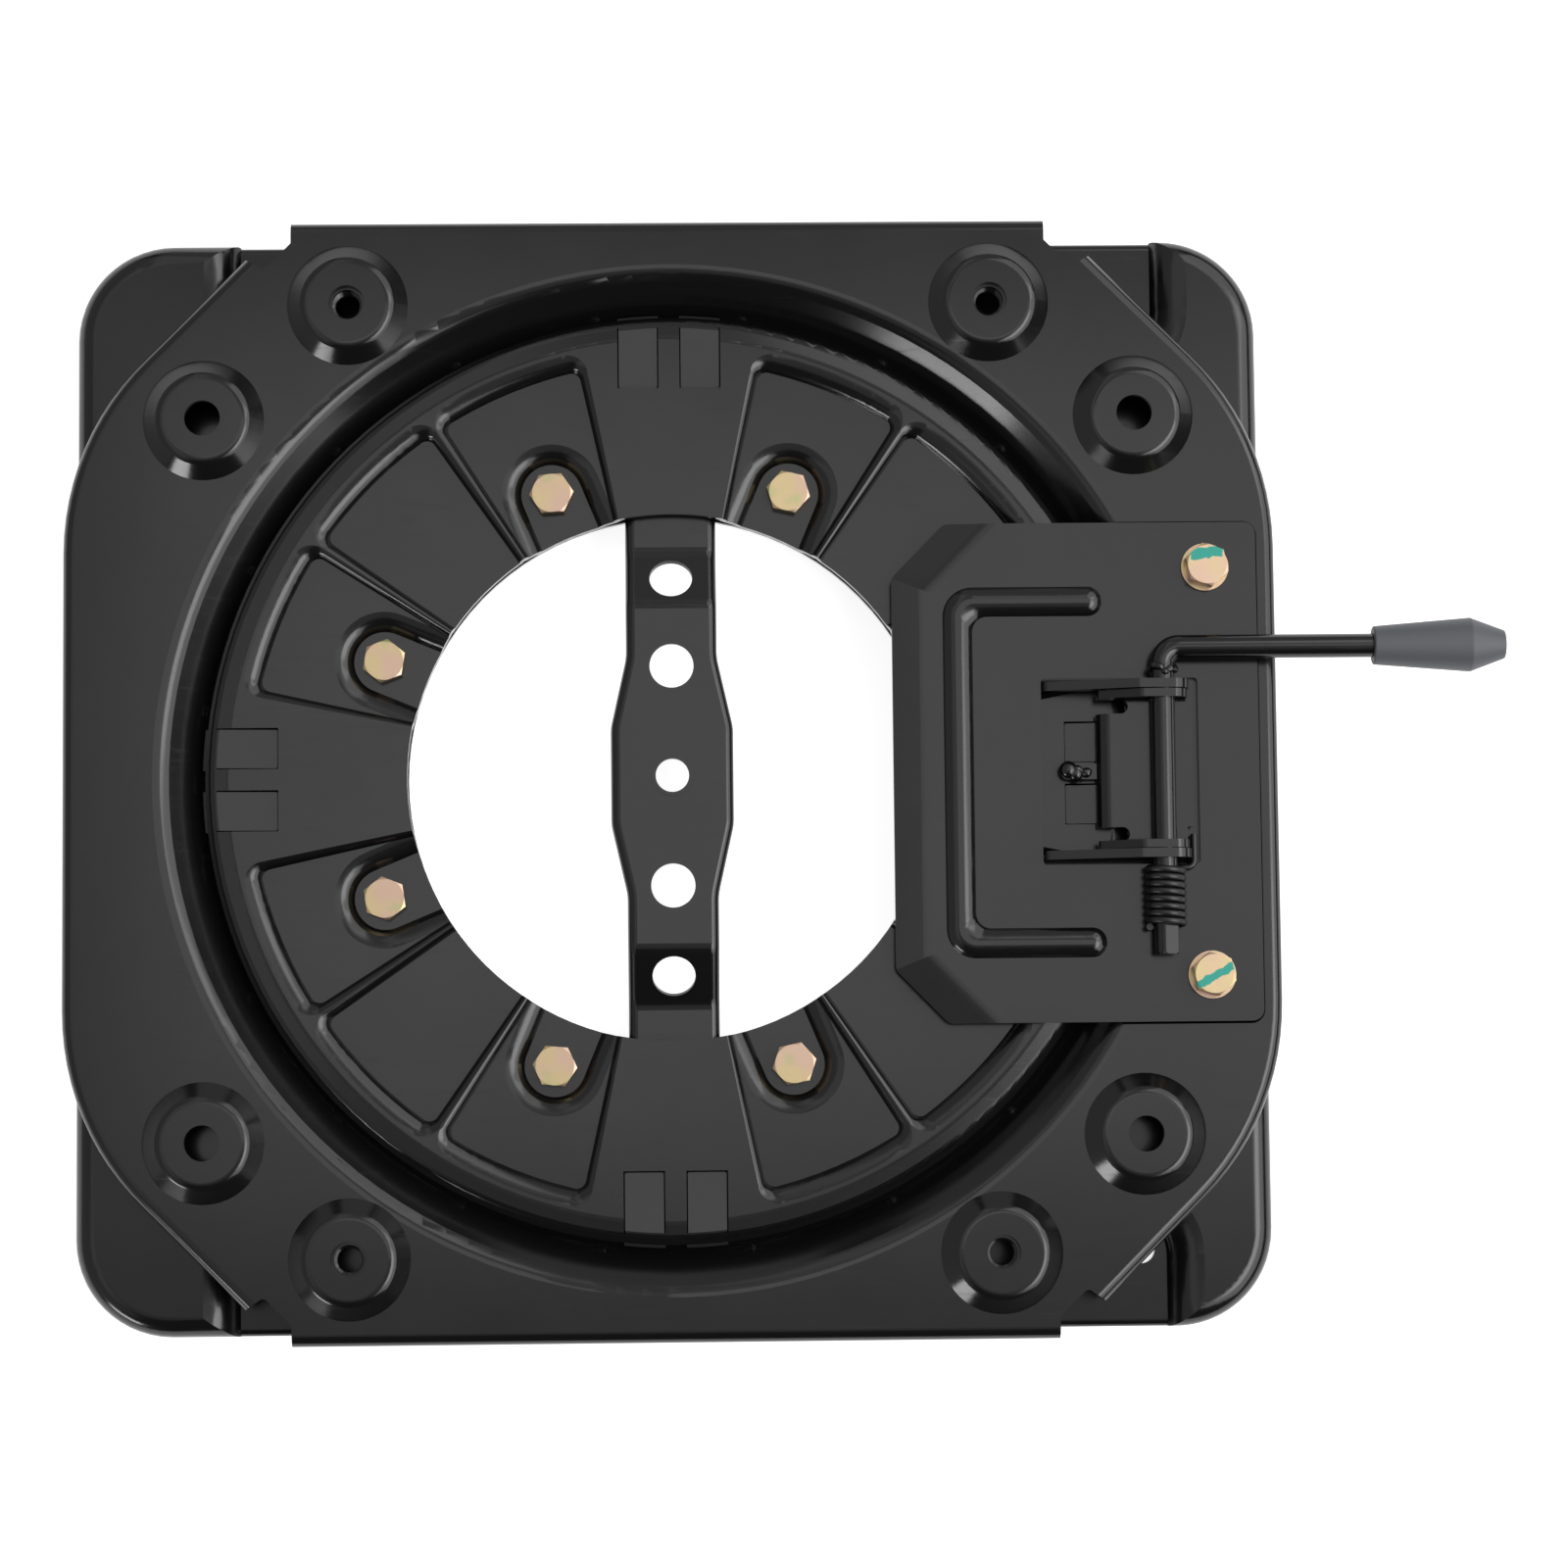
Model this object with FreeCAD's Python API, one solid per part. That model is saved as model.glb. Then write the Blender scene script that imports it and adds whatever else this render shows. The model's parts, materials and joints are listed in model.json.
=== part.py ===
import FreeCAD
import Part
import math
import os

# Swivel base for a vehicle seat: a fixed lower plate, a turning upper plate held between two
# rows of balls by a bolted disc, and a sprung latch that drops two teeth into stamped pockets.
# Lengths are in millimetres. The origin is on the turning axis, in the plane of the raised
# bosses that the seat stands on. +X points along the release handle and +Z points up.

# Sheet and bends
sheet = 3.0
skirt_bend = 1.0
running_gap = 0.3
roll_start = 15.0
roll_end = 84.0
roll_sections = 5
fit_gap = 0.05
push_gap = 0.02

# Turntable plate
table_half_x = 204.4
table_half_y = 189.2
table_corner_reach = 320.0
table_corner_radius = 93.0
table_skirt = 18.0
notch_start_x = 127.7
notch_depth_y = 7.2
notch_root_x = 137.0
notch_root_y = 172.6
notch_peak_x = 143.2
boss_rise = 5.0
boss_flat_radius = 14.7
boss_foot_radius = 20.4
boss_crest_radius = 4.0
boss_hole_radius = 6.0
long_pattern_x = 108.5
long_pattern_y = 160.5
wide_pattern_x = 157.0
wide_pattern_y = 121.5
recess_top_radius = 171.0
recess_foot_radius = 158.0
recess_crest_radius = 8.0
recess_root_radius = 3.0
lip_radius = 148.5

# Retaining disc
disc_drop = 2.5
hole_radius = 89.0
rim_crease_radius = 149.5
rim_lip_radius = 155.0
rim_radius = 157.0
rim_angle = 9.0
rim_lip_depth = 3.5
rim_crease_bend = 8.0
rim_lip_bend = 3.2
pocket_depth = 3.5
pocket_outer_radius = 141.8
pocket_lip_radius = 147.8
pocket_half_angle = 10.0
pocket_lip_half_angle = 11.2
pocket_pitch = 22.5
pocket_corner = 3.2
pocket_lip_corner = 7.0
pad_depth = 4.0
pad_half_width = 10.3
pad_wall_run = 6.5
bolt_circle_radius = 104.8
bolt_count = 8
slot_gap = 7.2
slot_width = 13.8
slot_start = 132.2
slot_end = 152.9
slot_depth = 2.6
slot_end_step = 0.25
slot_corner = 1.3
rim_tab_inner = 154.4
rim_tab_outer = 157.9
rim_tab_web = 0.9
rim_tab_rise = 1.2
rim_tab_sheet = 2.0

# Balls and cages
ball_diameter = 5.0
ball_circle_radius = 151.5
balls_in_row = 20
cage_inner_radius = 147.0
cage_outer_radius = 153.5
cage_thickness = 1.4
cage_clearance = 0.2

# Lower plate
base_half_x = 202.3
base_half_y = 186.3
base_corner = 33.0
base_edge_radius = 7.0
ring_outer_radius = 118.0
ring_bend = 3.5
ring_foot_radius = 127.5
valley_depth = 8.0
valley_left = -147.0
valley_right = 166.5
valley_inner_y = 148.0
valley_wall_run = 12.0
valley_corner = 14.0
valley_edge_radius = 2.5
race_edge_radius = 160.0
base_hole_inset = 8.8
base_hole_y = 160.3
base_hole_radius = 4.8
track_depth = 0.6

# Centre strap
strap_sheet = 2.0
strap_height = 5.0
strap_reach = 112.0
strap_rise = 9.0
strap_slope_start = 58.2
strap_slope_end = 76.6
strap_fold_radius = 8.0
strap_edge_radius = 3.2
strap_corner_radius = 5.0
strap_end_half_width = 15.3
strap_mid_half_width = 20.6
strap_wide_y = 16.4
strap_wide_bend = 15.0
strap_taper_y = 40.0
strap_taper_bend = 20.0
strap_hole_radius = 7.4
strap_slope_hole_radius = 7.2
strap_inner_hole_y = 37.0
strap_outer_hole_y = 67.2
strap_centre_hole_radius = 5.6
strap_collar_radius = 6.95
strap_collar_rise = 0.5

# Latch plate
latch_sheet = 3.0
latch_left = 74.3
latch_edge_margin = 7.0
latch_half_y = 84.2
latch_left_half_y = 66.0
latch_chamfer_x = 92.0
latch_corner = 4.0
latch_fold_run = 11.0
latch_fold_drop = 1.7
latch_fold_radius = 25.0
rib_x = 96.3
rib_half_y = 57.5
rib_end_x = 140.0
rib_half_width = 5.0
rib_bend = 5.0
rib_rise = 2.5
rib_wall_run = 4.2
rib_roll_start = 30.0
window_left = 124.1
window_right = 177.0
latch_bolt_share = 0.407
latch_bolt_y = 68.7

# Latch mechanism
pivot_x = 164.4
lock_angle = 4.5
shaft_radius = 4.0
shaft_end_y = -62.0
shaft_far_y = 33.0
shaft_flat = 3.2
shaft_flat_length = 10.0
shaft_flat_turn = 25.0
shaft_chamfer = 0.5
ear_sheet = 3.0
ear_front_x = 124.6
ear_front_rise = 3.0
ear_bend = 1.5
ear_rear_x = 173.0
ear_crown = 6.3
ear_foot = 5.0
pawl_sheet = 2.7
pawl_front_x = 142.5
pawl_rear_x = 174.4
pawl_neck_x = 153.0
pawl_neck_half_y = 19.1
pawl_ear_outer_y = 26.6
pawl_crown = 5.6
pawl_ear_front_rise = 2.0
pawl_ear_setback = 0.6
pawl_bend = 2.5
pawl_ear_bend = 1.0
tooth_clearance = 0.5
tooth_shoulder = 2.4
stop_length = 12.0
stop_half_width = 2.6
stop_height = 2.2
bead_radius = 3.2
spring_wire = 2.3
spring_outer_radius = 6.85
spring_turns = 8.25
spring_pitch = 2.45
spring_gap = 1.6
spring_leg_gap = 0.45
spring_leg_bend = 2.6
spring_leg_end_y = -21.5
weld_near = 2.5
weld_far = 3.0
weld_rise = 1.3
rod_radius = 4.0
rod_bend = 5.5
rod_y = 41.0
knob_start_x = 235.3
knob_shoulder_x = 268.0
knob_end_x = 279.8
knob_neck_radius = 6.45
knob_shoulder_radius = 9.1
knob_tip_radius = 4.7
knob_bore_depth = 14.0

# M8 fasteners, their weld nuts and the M10 weld nuts for the seat
m8_radius = 4.0
m8_head = 5.3
m8_across_flats = 13.0
m8_nut = 6.5
disc_bolt_end = 2.5
latch_bolt_end = 1.0
m8_hole_radius = 4.5
m8_washer_radius = 8.0
m8_washer = 1.6
m8_spring_washer_radius = 6.6
m8_spring_washer = 2.0
m8_spring_washer_gap = 1.0
m8_spring_washer_slant = 20.0
bolt_turn = 17.0
nut_turn = 11.0
latch_bolt_turn = 12.0
m10_nut = 8.0
m10_across_flats = 17.0
m10_radius = 5.0

# Levels, from the seat plane down, and places that follow from the sizes
table_top = -boss_rise
disc_top = table_top - disc_drop
pocket_floor = disc_top - pocket_depth
pad_top = pocket_floor - pad_depth
ring_top = pad_top - sheet
rim_slope = math.tan(math.radians(rim_angle))
rim_lip_top = disc_top - (rim_lip_radius - rim_crease_radius) * rim_slope
slot_floor_in = disc_top - slot_depth
slot_floor_out = disc_top - (slot_end - rim_crease_radius) * rim_slope - slot_end_step
slot_fall = (slot_floor_out - slot_floor_in) / (slot_end - slot_start)
slot_floor_over_balls = slot_floor_out - (slot_end - ball_circle_radius) * slot_fall
upper_ball_top = slot_floor_over_balls - sheet - running_gap
lip_top = upper_ball_top - ball_diameter - running_gap
lower_ball_top = lip_top - sheet - running_gap
race_top = lower_ball_top - ball_diameter - running_gap + track_depth
valley_floor = race_top - valley_depth
base_bottom = valley_floor - sheet
latch_top = table_top + latch_sheet
pivot_z = latch_top + spring_outer_radius + running_gap
pawl_top = pivot_z - shaft_radius - fit_gap
tooth_tip = disc_top + running_gap
slot_centre = slot_gap / 2 + slot_width / 2
ear_outer_y = pawl_ear_outer_y + running_gap + ear_sheet
latch_right = table_half_x - latch_edge_margin
recess_edge_x = math.sqrt((recess_top_radius + recess_crest_radius) ** 2 - latch_bolt_y ** 2)
latch_bolt_x = recess_edge_x + latch_bolt_share * (table_half_x - sheet - recess_edge_x)


def vec(x, y, z):
    return FreeCAD.Vector(x, y, z)


def flat_plan(z):
    """Puts plan coordinates at height z."""
    return lambda u, v: vec(u, v, z)


def side_section(y):
    """Puts (x, z) coordinates in the plane at y."""
    return lambda u, v: vec(u, y, v)


def cross_section(x):
    """Puts (y, z) coordinates in the plane at x."""
    return lambda u, v: vec(x, u, v)


def outline(corners, place):
    """Closed wire through corners (u, v, radius), each rounded by a tangent arc."""
    ends = []
    for i, (u, v, radius) in enumerate(corners):
        before = corners[i - 1]
        after = corners[(i + 1) % len(corners)]
        here = vec(u, v, 0)
        to_before = (vec(before[0], before[1], 0) - here).normalize()
        to_after = (vec(after[0], after[1], 0) - here).normalize()
        if radius <= 0:
            ends.append((here, None, here))
            continue
        half = to_before.getAngle(to_after) / 2
        reach = radius / math.tan(half)
        bisector = (to_before + to_after).normalize()
        middle = here + bisector * (radius / math.sin(half) - radius)
        ends.append((here + to_before * reach, middle, here + to_after * reach))
    edges = []
    for i, (start, middle, finish) in enumerate(ends):
        onward = ends[(i + 1) % len(ends)][0]
        if middle is not None:
            spots = [place(p.x, p.y) for p in (start, middle, finish)]
            edges.append(Part.Arc(*spots).toShape())
        if (onward - finish).Length > 1e-6:
            edges.append(Part.LineSegment(place(finish.x, finish.y), place(onward.x, onward.y)).toShape())
    return Part.Wire(edges)


def prism(corners, low, high):
    """Upright block between two heights with a rounded outline."""
    face = Part.Face(outline(corners, flat_plan(low)))
    return face.extrude(vec(0, 0, high - low))


def cylinder(radius, low, high, x=0.0, y=0.0):
    return Part.makeCylinder(radius, high - low, vec(x, y, low))


def cone(low_radius, low, high_radius, high):
    return Part.makeCone(low_radius, high_radius, high - low, vec(0, 0, low))


def box(x0, x1, y0, y1, z0, z1):
    return Part.makeBox(x1 - x0, y1 - y0, z1 - z0, vec(x0, y0, z0))


def turned(shape, degrees, x=0.0, y=0.0):
    copy = shape.copy()
    copy.rotate(vec(x, y, 0), vec(0, 0, 1), degrees)
    return copy


def moved(shape, x, y, z=0.0):
    copy = shape.copy()
    copy.translate(vec(x, y, z))
    return copy


def sheet_section(path, thickness):
    """Closed section of a bent sheet.

    path is the upper surface as (u, v, radius) points, where radius rounds the upper surface at
    that bend, and the sheet lies to the right of it.
    """
    points = [vec(u, v, 0) for u, v, radius in path]
    normals = []
    for here, onward in zip(points, points[1:]):
        run = (onward - here).normalize()
        normals.append(vec(run.y, -run.x, 0))
    under = []
    for i, point in enumerate(points):
        first = normals[max(i - 1, 0)]
        second = normals[min(i, len(normals) - 1)]
        shift = (first + second) * (thickness / (1 + first.dot(second)))
        turn = first.cross(second).z
        radius = 0.0
        if turn < -1e-9:
            radius = max(path[i][2] - thickness, 0.0)
        if turn > 1e-9:
            radius = path[i][2] + thickness
        under.append((point.x + shift.x, point.y + shift.y, radius))
    return list(path) + under[::-1]


def spun(corners):
    """Turned body from a rounded outline of (radius, height) corners."""
    return Part.Face(outline(corners, side_section(0))).revolve(vec(0, 0, 0), vec(0, 0, 1), 360)


def spun_sheet(path):
    """Pressed ring: a bent sheet section turned about the Z axis."""
    return spun(sheet_section(path, sheet))


def between(low, high, share):
    return low + (high - low) * share


def rolled_block(wire_at, low, high, start=roll_start):
    """Block whose walls leave the low outline steeply and roll over softly at the high one.

    wire_at(share, z, shift) gives the outline at height z, moved out by shift. Its share runs
    from 0 at the low outline to 1 at the high one.
    """
    first = math.radians(start)
    last = math.radians(roll_end)
    wires = []
    for i in range(roll_sections):
        turn = between(first, last, i / (roll_sections - 1))
        share = (math.cos(first) - math.cos(turn)) / (math.cos(first) - math.cos(last))
        rise = (math.sin(turn) - math.sin(first)) / (math.sin(last) - math.sin(first))
        wires.append(wire_at(share, between(low, high, rise), 0.0))
    return Part.makeLoft(wires, True, False)


def block_under(wire_at, low, high):
    """Outside of a rolled block's walls, one sheet thickness away."""
    wires = [
        wire_at(0.0, low - sheet, sheet / 3), wire_at(0.0, low - sheet / 4, sheet),
        wire_at(1.0, high - sheet, sheet / 10),
    ]
    return Part.makeLoft(wires, True, True)


def mirrored_quarters(x, y):
    return [(x, y), (-x, y), (-x, -y), (x, -y)]


def rim_wires_at(shape, height):
    """Edges of a solid that lie in one level plane."""
    level = []
    for edge in shape.Edges:
        if abs(edge.BoundBox.ZMin - height) < 1e-6 and abs(edge.BoundBox.ZMax - height) < 1e-6:
            level.append(edge)
    return level


def pan(corners_for, top, bottom, thickness, inner_radius):
    """Shallow upturned pan: a flat top with skirts all round.

    corners_for(inset) gives the outline moved inwards by inset.
    """
    outer = prism(corners_for(0.0), bottom, top)
    outer = outer.makeFillet(inner_radius + thickness, rim_wires_at(outer, top))
    inner = prism(corners_for(thickness), bottom - thickness, top - thickness)
    inner = inner.makeFillet(inner_radius, rim_wires_at(inner, top - thickness))
    return outer, inner


# Turntable plate

def table_corners(inset):
    """Plan of the turntable plate: straight sides and cut corners blended into the long sides."""
    half_x = table_half_x - inset
    half_y = table_half_y - inset
    reach = table_corner_reach - inset * math.sqrt(2)
    quarter = [(half_x, reach - half_x, table_corner_radius - inset), (reach - half_y, half_y, 0.0)]
    corners = list(quarter)
    corners += [(-u, v, r) for u, v, r in quarter[::-1]]
    corners += [(-u, -v, r) for u, v, r in quarter]
    corners += [(u, -v, r) for u, v, r in quarter[::-1]]
    return corners


def notch(sign_x, sign_y):
    """Relief cut where the end skirt stops short of the corner skirt."""
    beyond = table_half_x
    root_v = table_half_y - notch_depth_y
    peak_v = table_corner_reach - notch_peak_x
    plan = [
        (notch_start_x, beyond, 0.0), (notch_start_x, root_v, 0.0), (notch_root_x, notch_root_y, 2.0),
        (notch_peak_x, peak_v, 0.0), (notch_peak_x + notch_depth_y, peak_v + notch_depth_y, 0.0),
        (notch_peak_x + notch_depth_y, beyond, 0.0),
    ]
    plan = [(u * sign_x, v * sign_y, r) for u, v, r in plan]
    return prism(plan, table_top - table_skirt - sheet, table_top + sheet)


def boss_dome(depth):
    """Dome of a raised boss around the Z axis; depth moves its surface down through the sheet."""
    slope = math.atan2(boss_rise, boss_foot_radius - boss_flat_radius)
    shift = depth * math.tan(slope / 2)
    foot = boss_foot_radius - shift
    low = table_top - depth - sheet / 2
    return spun([
        (0.0, -depth, 0.0), (boss_flat_radius - shift, -depth, boss_crest_radius - depth),
        (foot, table_top - depth, 0.0), (foot, low, 0.0), (0.0, low, 0.0),
    ])


def boss_places():
    long_pattern = mirrored_quarters(long_pattern_x, long_pattern_y)
    return long_pattern + mirrored_quarters(wide_pattern_x, wide_pattern_y)


def race_recess():
    """Stepped-down ring whose lip runs between the two rows of balls."""
    return spun_sheet([
        (lip_radius, lip_top, 0.0), (recess_foot_radius, lip_top, recess_root_radius),
        (recess_top_radius, table_top, recess_crest_radius),
        (recess_top_radius + recess_crest_radius, table_top, 0.0),
    ])


def turntable_plate():
    outer, inner = pan(table_corners, table_top, table_top - table_skirt, sheet, skirt_bend)
    plate = outer.cut(inner)
    recess_edge = recess_top_radius + recess_crest_radius
    plate = plate.cut(cylinder(recess_edge, table_top - 2 * sheet, table_top + sheet))
    plate = plate.cut([notch(i, j) for i, j in mirrored_quarters(1, 1)])
    raised = boss_dome(0.0)
    plate = plate.fuse([race_recess()] + [moved(raised, x, y) for x, y in boss_places()])
    hollow = boss_dome(sheet)
    removed = [moved(hollow, x, y) for x, y in boss_places()]
    spare = table_skirt + sheet
    removed += [cylinder(boss_hole_radius, -spare, spare, x, y) for x, y in boss_places()]
    removed += [cylinder(m8_hole_radius, -spare, spare, x, y) for x, y in latch_places()]
    return plate.cut(removed).removeSplitter()


# Retaining disc

def sector_wire(z, end_radius, half_angle, shift, corner):
    """Pocket outline about the X axis: sides along two rays, moved out by shift, and an arched end."""
    ray = math.radians(half_angle)
    along = vec(math.cos(ray), math.sin(ray), 0)
    across = vec(-math.sin(ray), math.cos(ray), 0)
    offset = shift - corner
    reach = math.sqrt((end_radius - corner) ** 2 - offset ** 2)
    centre = along * reach + across * offset
    outward = centre * (1 / centre.Length)
    bisector = (across + outward).normalize()
    start = along * (hole_radius - 2 * pad_wall_run) + across * shift
    upper = [start, centre + across * corner, centre + bisector * corner, outward * end_radius]
    lower = [vec(p.x, -p.y, z) for p in upper]
    upper = [vec(p.x, p.y, z) for p in upper]
    edges = [
        Part.LineSegment(upper[0], upper[1]).toShape(),
        Part.Arc(upper[1], upper[2], upper[3]).toShape(),
        Part.Arc(upper[3], vec(end_radius, 0, z), lower[3]).toShape(),
        Part.Arc(lower[3], lower[2], lower[1]).toShape(),
        Part.LineSegment(lower[1], lower[0]).toShape(),
        Part.LineSegment(lower[0], upper[0]).toShape(),
    ]
    return Part.Wire(edges)


def pocket_wire(share, z, shift):
    """Outline of a pocket between its floor and its lip."""
    end = between(pocket_outer_radius, pocket_lip_radius, share) + shift
    angle = between(pocket_half_angle, pocket_lip_half_angle, share)
    corner = between(pocket_corner, pocket_lip_corner, share) + shift
    return sector_wire(z, end, angle, shift, corner)


def pocket_column(shift):
    """Everything above and below one pocket's floor."""
    wires = [pocket_wire(0.0, z, shift) for z in (ring_top - sheet, disc_top)]
    return Part.makeLoft(wires, True, True)


def pad_wire(share, z, shift):
    """U-shaped outline of a bolt pad about the X axis, open towards the hole."""
    half = pad_half_width + pad_wall_run * share + shift
    start = hole_radius - 2 * pad_wall_run
    centre = bolt_circle_radius
    arch = [vec(centre, -half, z), vec(centre + half, 0, z), vec(centre, half, z)]
    edges = [
        Part.LineSegment(vec(start, -half, z), arch[0]).toShape(), Part.Arc(*arch).toShape(),
        Part.LineSegment(arch[2], vec(start, half, z)).toShape(),
        Part.LineSegment(vec(start, half, z), vec(start, -half, z)).toShape(),
    ]
    return Part.Wire(edges)


def slot_corners():
    beyond = rim_radius
    near = slot_gap / 2
    far = near + slot_width
    return [
        (slot_start, near, slot_corner), (beyond, near, 0.0), (beyond, far, 0.0), (slot_start, far, slot_corner),
    ]


def slot_layer(low, high):
    """Slab that follows a slot's sloping floor, from low to high above it."""
    side = [(slot_start, slot_floor_in + low, 0.0), (slot_end, slot_floor_out + low, 0.0),
            (slot_end, slot_floor_out + high, 0.0), (slot_start, slot_floor_in + high, 0.0)]
    slab = Part.Face(outline(side, side_section(0.0))).extrude(vec(0, slot_gap + slot_width, 0))
    plan = prism(slot_corners(), slot_floor_in - 2 * sheet, disc_top + 2 * sheet)
    reach = cylinder(slot_end, slot_floor_in - 2 * sheet, disc_top + 2 * sheet)
    return plan.common(slab).common(reach)


def rim_tab():
    """Short lug under the rim beside each slot, just outside the upper balls."""
    lean = math.atan2(rim_radius - rim_lip_radius, rim_lip_depth)
    high = rim_lip_top - rim_lip_depth - sheet * math.sin(lean) + rim_tab_rise / 4
    low = high - rim_tab_sheet
    web = rim_tab_inner + rim_tab_web
    ring = spun([
        (rim_tab_inner, low, 0.0), (rim_tab_outer, low, 0.0), (rim_tab_outer, high, 0.0), (web, high, 0.0),
        (web, high + rim_tab_rise, 0.0), (rim_tab_inner, high + rim_tab_rise, 0.0),
    ])
    span = box(0.0, rim_tab_outer, slot_gap / 2, slot_gap / 2 + slot_width, low, high + rim_tab_rise)
    return ring.common(span)


def bolt_angles():
    """Angles of the bolts that clamp the disc to the lower plate's ring."""
    return [360.0 * (i + 0.5) / bolt_count for i in range(bolt_count)]


def bolt_places():
    angles = [math.radians(angle) for angle in bolt_angles()]
    return [(bolt_circle_radius * math.cos(angle), bolt_circle_radius * math.sin(angle)) for angle in angles]


def retaining_disc():
    plate = spun_sheet([
        (hole_radius, disc_top, 0.0), (rim_crease_radius, disc_top, rim_crease_bend),
        (rim_lip_radius, rim_lip_top, rim_lip_bend), (rim_radius, rim_lip_top - rim_lip_depth, 0.0),
    ])
    pocket_under = block_under(pocket_wire, pocket_floor, disc_top)
    pocket = rolled_block(pocket_wire, pocket_floor, disc_top)
    pad_under = block_under(pad_wire, pad_top, pocket_floor).common(pocket_column(sheet))
    pad = rolled_block(pad_wire, pad_top, pocket_floor).common(pocket_column(0.0))
    slug = slot_layer(-sheet, 0.0)
    slot = slot_layer(0.0, 2 * sheet)
    tab = rim_tab()
    added = []
    removed = [cylinder(hole_radius, ring_top - sheet, disc_top + sheet)]
    for quarter in range(4):
        for step in (-1, 0, 1):
            at = 45.0 + pocket_pitch * step + 90.0 * quarter
            added.append(turned(pocket_under, at))
            removed.append(turned(pocket, at))
        for piece, target in ((slug, added), (tab, added), (slot, removed)):
            target.append(turned(piece, 90.0 * quarter))
            target.append(turned(piece.mirror(vec(0, 0, 0), vec(0, 1, 0)), 90.0 * quarter))
    for at in bolt_angles():
        added.append(turned(pad_under, at))
        removed.append(turned(pad, at))
    removed += [cylinder(m8_hole_radius, ring_top - sheet, disc_top, x, y) for x, y in bolt_places()]
    return plate.fuse(added).cut(removed).removeSplitter()


# Balls and cages

def ball_row(top):
    centre = top - ball_diameter / 2
    balls = []
    for i in range(balls_in_row):
        angle = 2 * math.pi * (i + 0.5) / balls_in_row
        spot = vec(ball_circle_radius * math.cos(angle), ball_circle_radius * math.sin(angle), centre)
        balls.append(Part.makeSphere(ball_diameter / 2, spot))
    return Part.makeCompound(balls)


def ball_cage(top):
    """Flat ring with a pocket, open outwards, for every ball of its row."""
    centre = top - ball_diameter / 2
    low = centre - cage_thickness / 2
    high = centre + cage_thickness / 2
    ring = cylinder(cage_outer_radius, low, high).cut(cylinder(cage_inner_radius, low, high))
    pocket = cylinder(ball_diameter / 2 + cage_clearance, low, high, ball_circle_radius)
    step = 360.0 / balls_in_row
    return ring.cut([turned(pocket, step * (i + 0.5)) for i in range(balls_in_row)])


# Lower plate

def base_corners(inset):
    half_x = base_half_x - inset
    half_y = base_half_y - inset
    return [(x, y, base_corner - inset) for x, y in mirrored_quarters(half_x, half_y)]


def valley_wire(sign_y, share, z, shift):
    """Outline of a low end field, open over the plate's long edge."""
    run = valley_wall_run * share + shift
    beyond = sign_y * (base_half_y + 2 * base_edge_radius)
    inner = sign_y * (valley_inner_y - run)
    corner = valley_corner + run
    plan = [(valley_left - run, inner, corner), (valley_right + run, inner, corner),
            (valley_right + run, beyond, 0.0), (valley_left - run, beyond, 0.0)]
    return outline(plan, flat_plan(z))


def island_wire(share, z, shift):
    """Round edge of the race's level, which stands inside both low fields."""
    radius = race_edge_radius + valley_wall_run * (1 - share) - shift
    return Part.Wire([Part.makeCircle(radius, vec(0, 0, z))])


def valleys(make):
    """Both low fields, made as solids by make and pierced by the race's round edge."""
    island = make(island_wire, valley_floor, race_top)
    fields = []
    for side in (-1, 1):
        field = make(lambda share, z, shift, j=side: valley_wire(j, share, z, shift), valley_floor, race_top)
        fields.append(field.cut(island))
    return fields


def base_holes():
    left = valley_left + base_hole_inset
    right = valley_right - base_hole_inset
    return [(x, j * base_hole_y) for x in (left, right) for j in (-1, 1)]


def lower_plate():
    outer, inner = pan(base_corners, race_top, base_bottom, sheet, base_edge_radius - sheet)
    low_slab = prism(base_corners(0.0), base_bottom, valley_floor)
    low_slab = low_slab.makeFillet(valley_edge_radius, rim_wires_at(low_slab, valley_floor))
    edges = []
    for side in (-1, 1):
        # what stands above the rounded edge of one low field
        foot = Part.Face(valley_wire(side, 0.0, base_bottom, 0.0)).extrude(vec(0, 0, race_top - base_bottom))
        edges.append(foot.cut([low_slab, cylinder(race_edge_radius + valley_wall_run, base_bottom, race_top)]))
    outer = outer.cut(valleys(rolled_block) + edges)
    plate = outer.cut(inner.cut(valleys(block_under)))
    plate = plate.cut(cylinder(ring_foot_radius + 3 * sheet, base_bottom, race_top + sheet))
    plate = plate.fuse(spun_sheet([
        (hole_radius, ring_top, 0.0), (ring_outer_radius, ring_top, ring_bend),
        (ring_foot_radius, race_top, ring_bend), (ring_foot_radius + 3 * sheet, race_top, 0.0),
    ]))
    track_radius = ball_diameter / 2 + running_gap
    track_z = race_top - track_depth + track_radius
    plate = plate.cut(Part.makeTorus(ball_circle_radius, track_radius, vec(0, 0, track_z)))
    holes = [cylinder(m8_hole_radius, base_bottom, disc_top, x, y) for x, y in bolt_places()]
    holes += [cylinder(base_hole_radius, base_bottom - sheet, race_top, x, y) for x, y in base_holes()]
    return plate.cut(holes).removeSplitter()


# Centre strap

def strap_plan(inset):
    end = strap_reach - inset
    wide = strap_mid_half_width - inset
    slim = strap_end_half_width - inset
    corner = strap_corner_radius - inset
    right = [
        (slim, -end, corner), (slim, -strap_taper_y, strap_taper_bend), (wide, -strap_wide_y, strap_wide_bend),
        (wide, strap_wide_y, strap_wide_bend), (slim, strap_taper_y, strap_taper_bend), (slim, end, corner),
    ]
    return right + [(-u, -v, r) for u, v, r in right]


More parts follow.
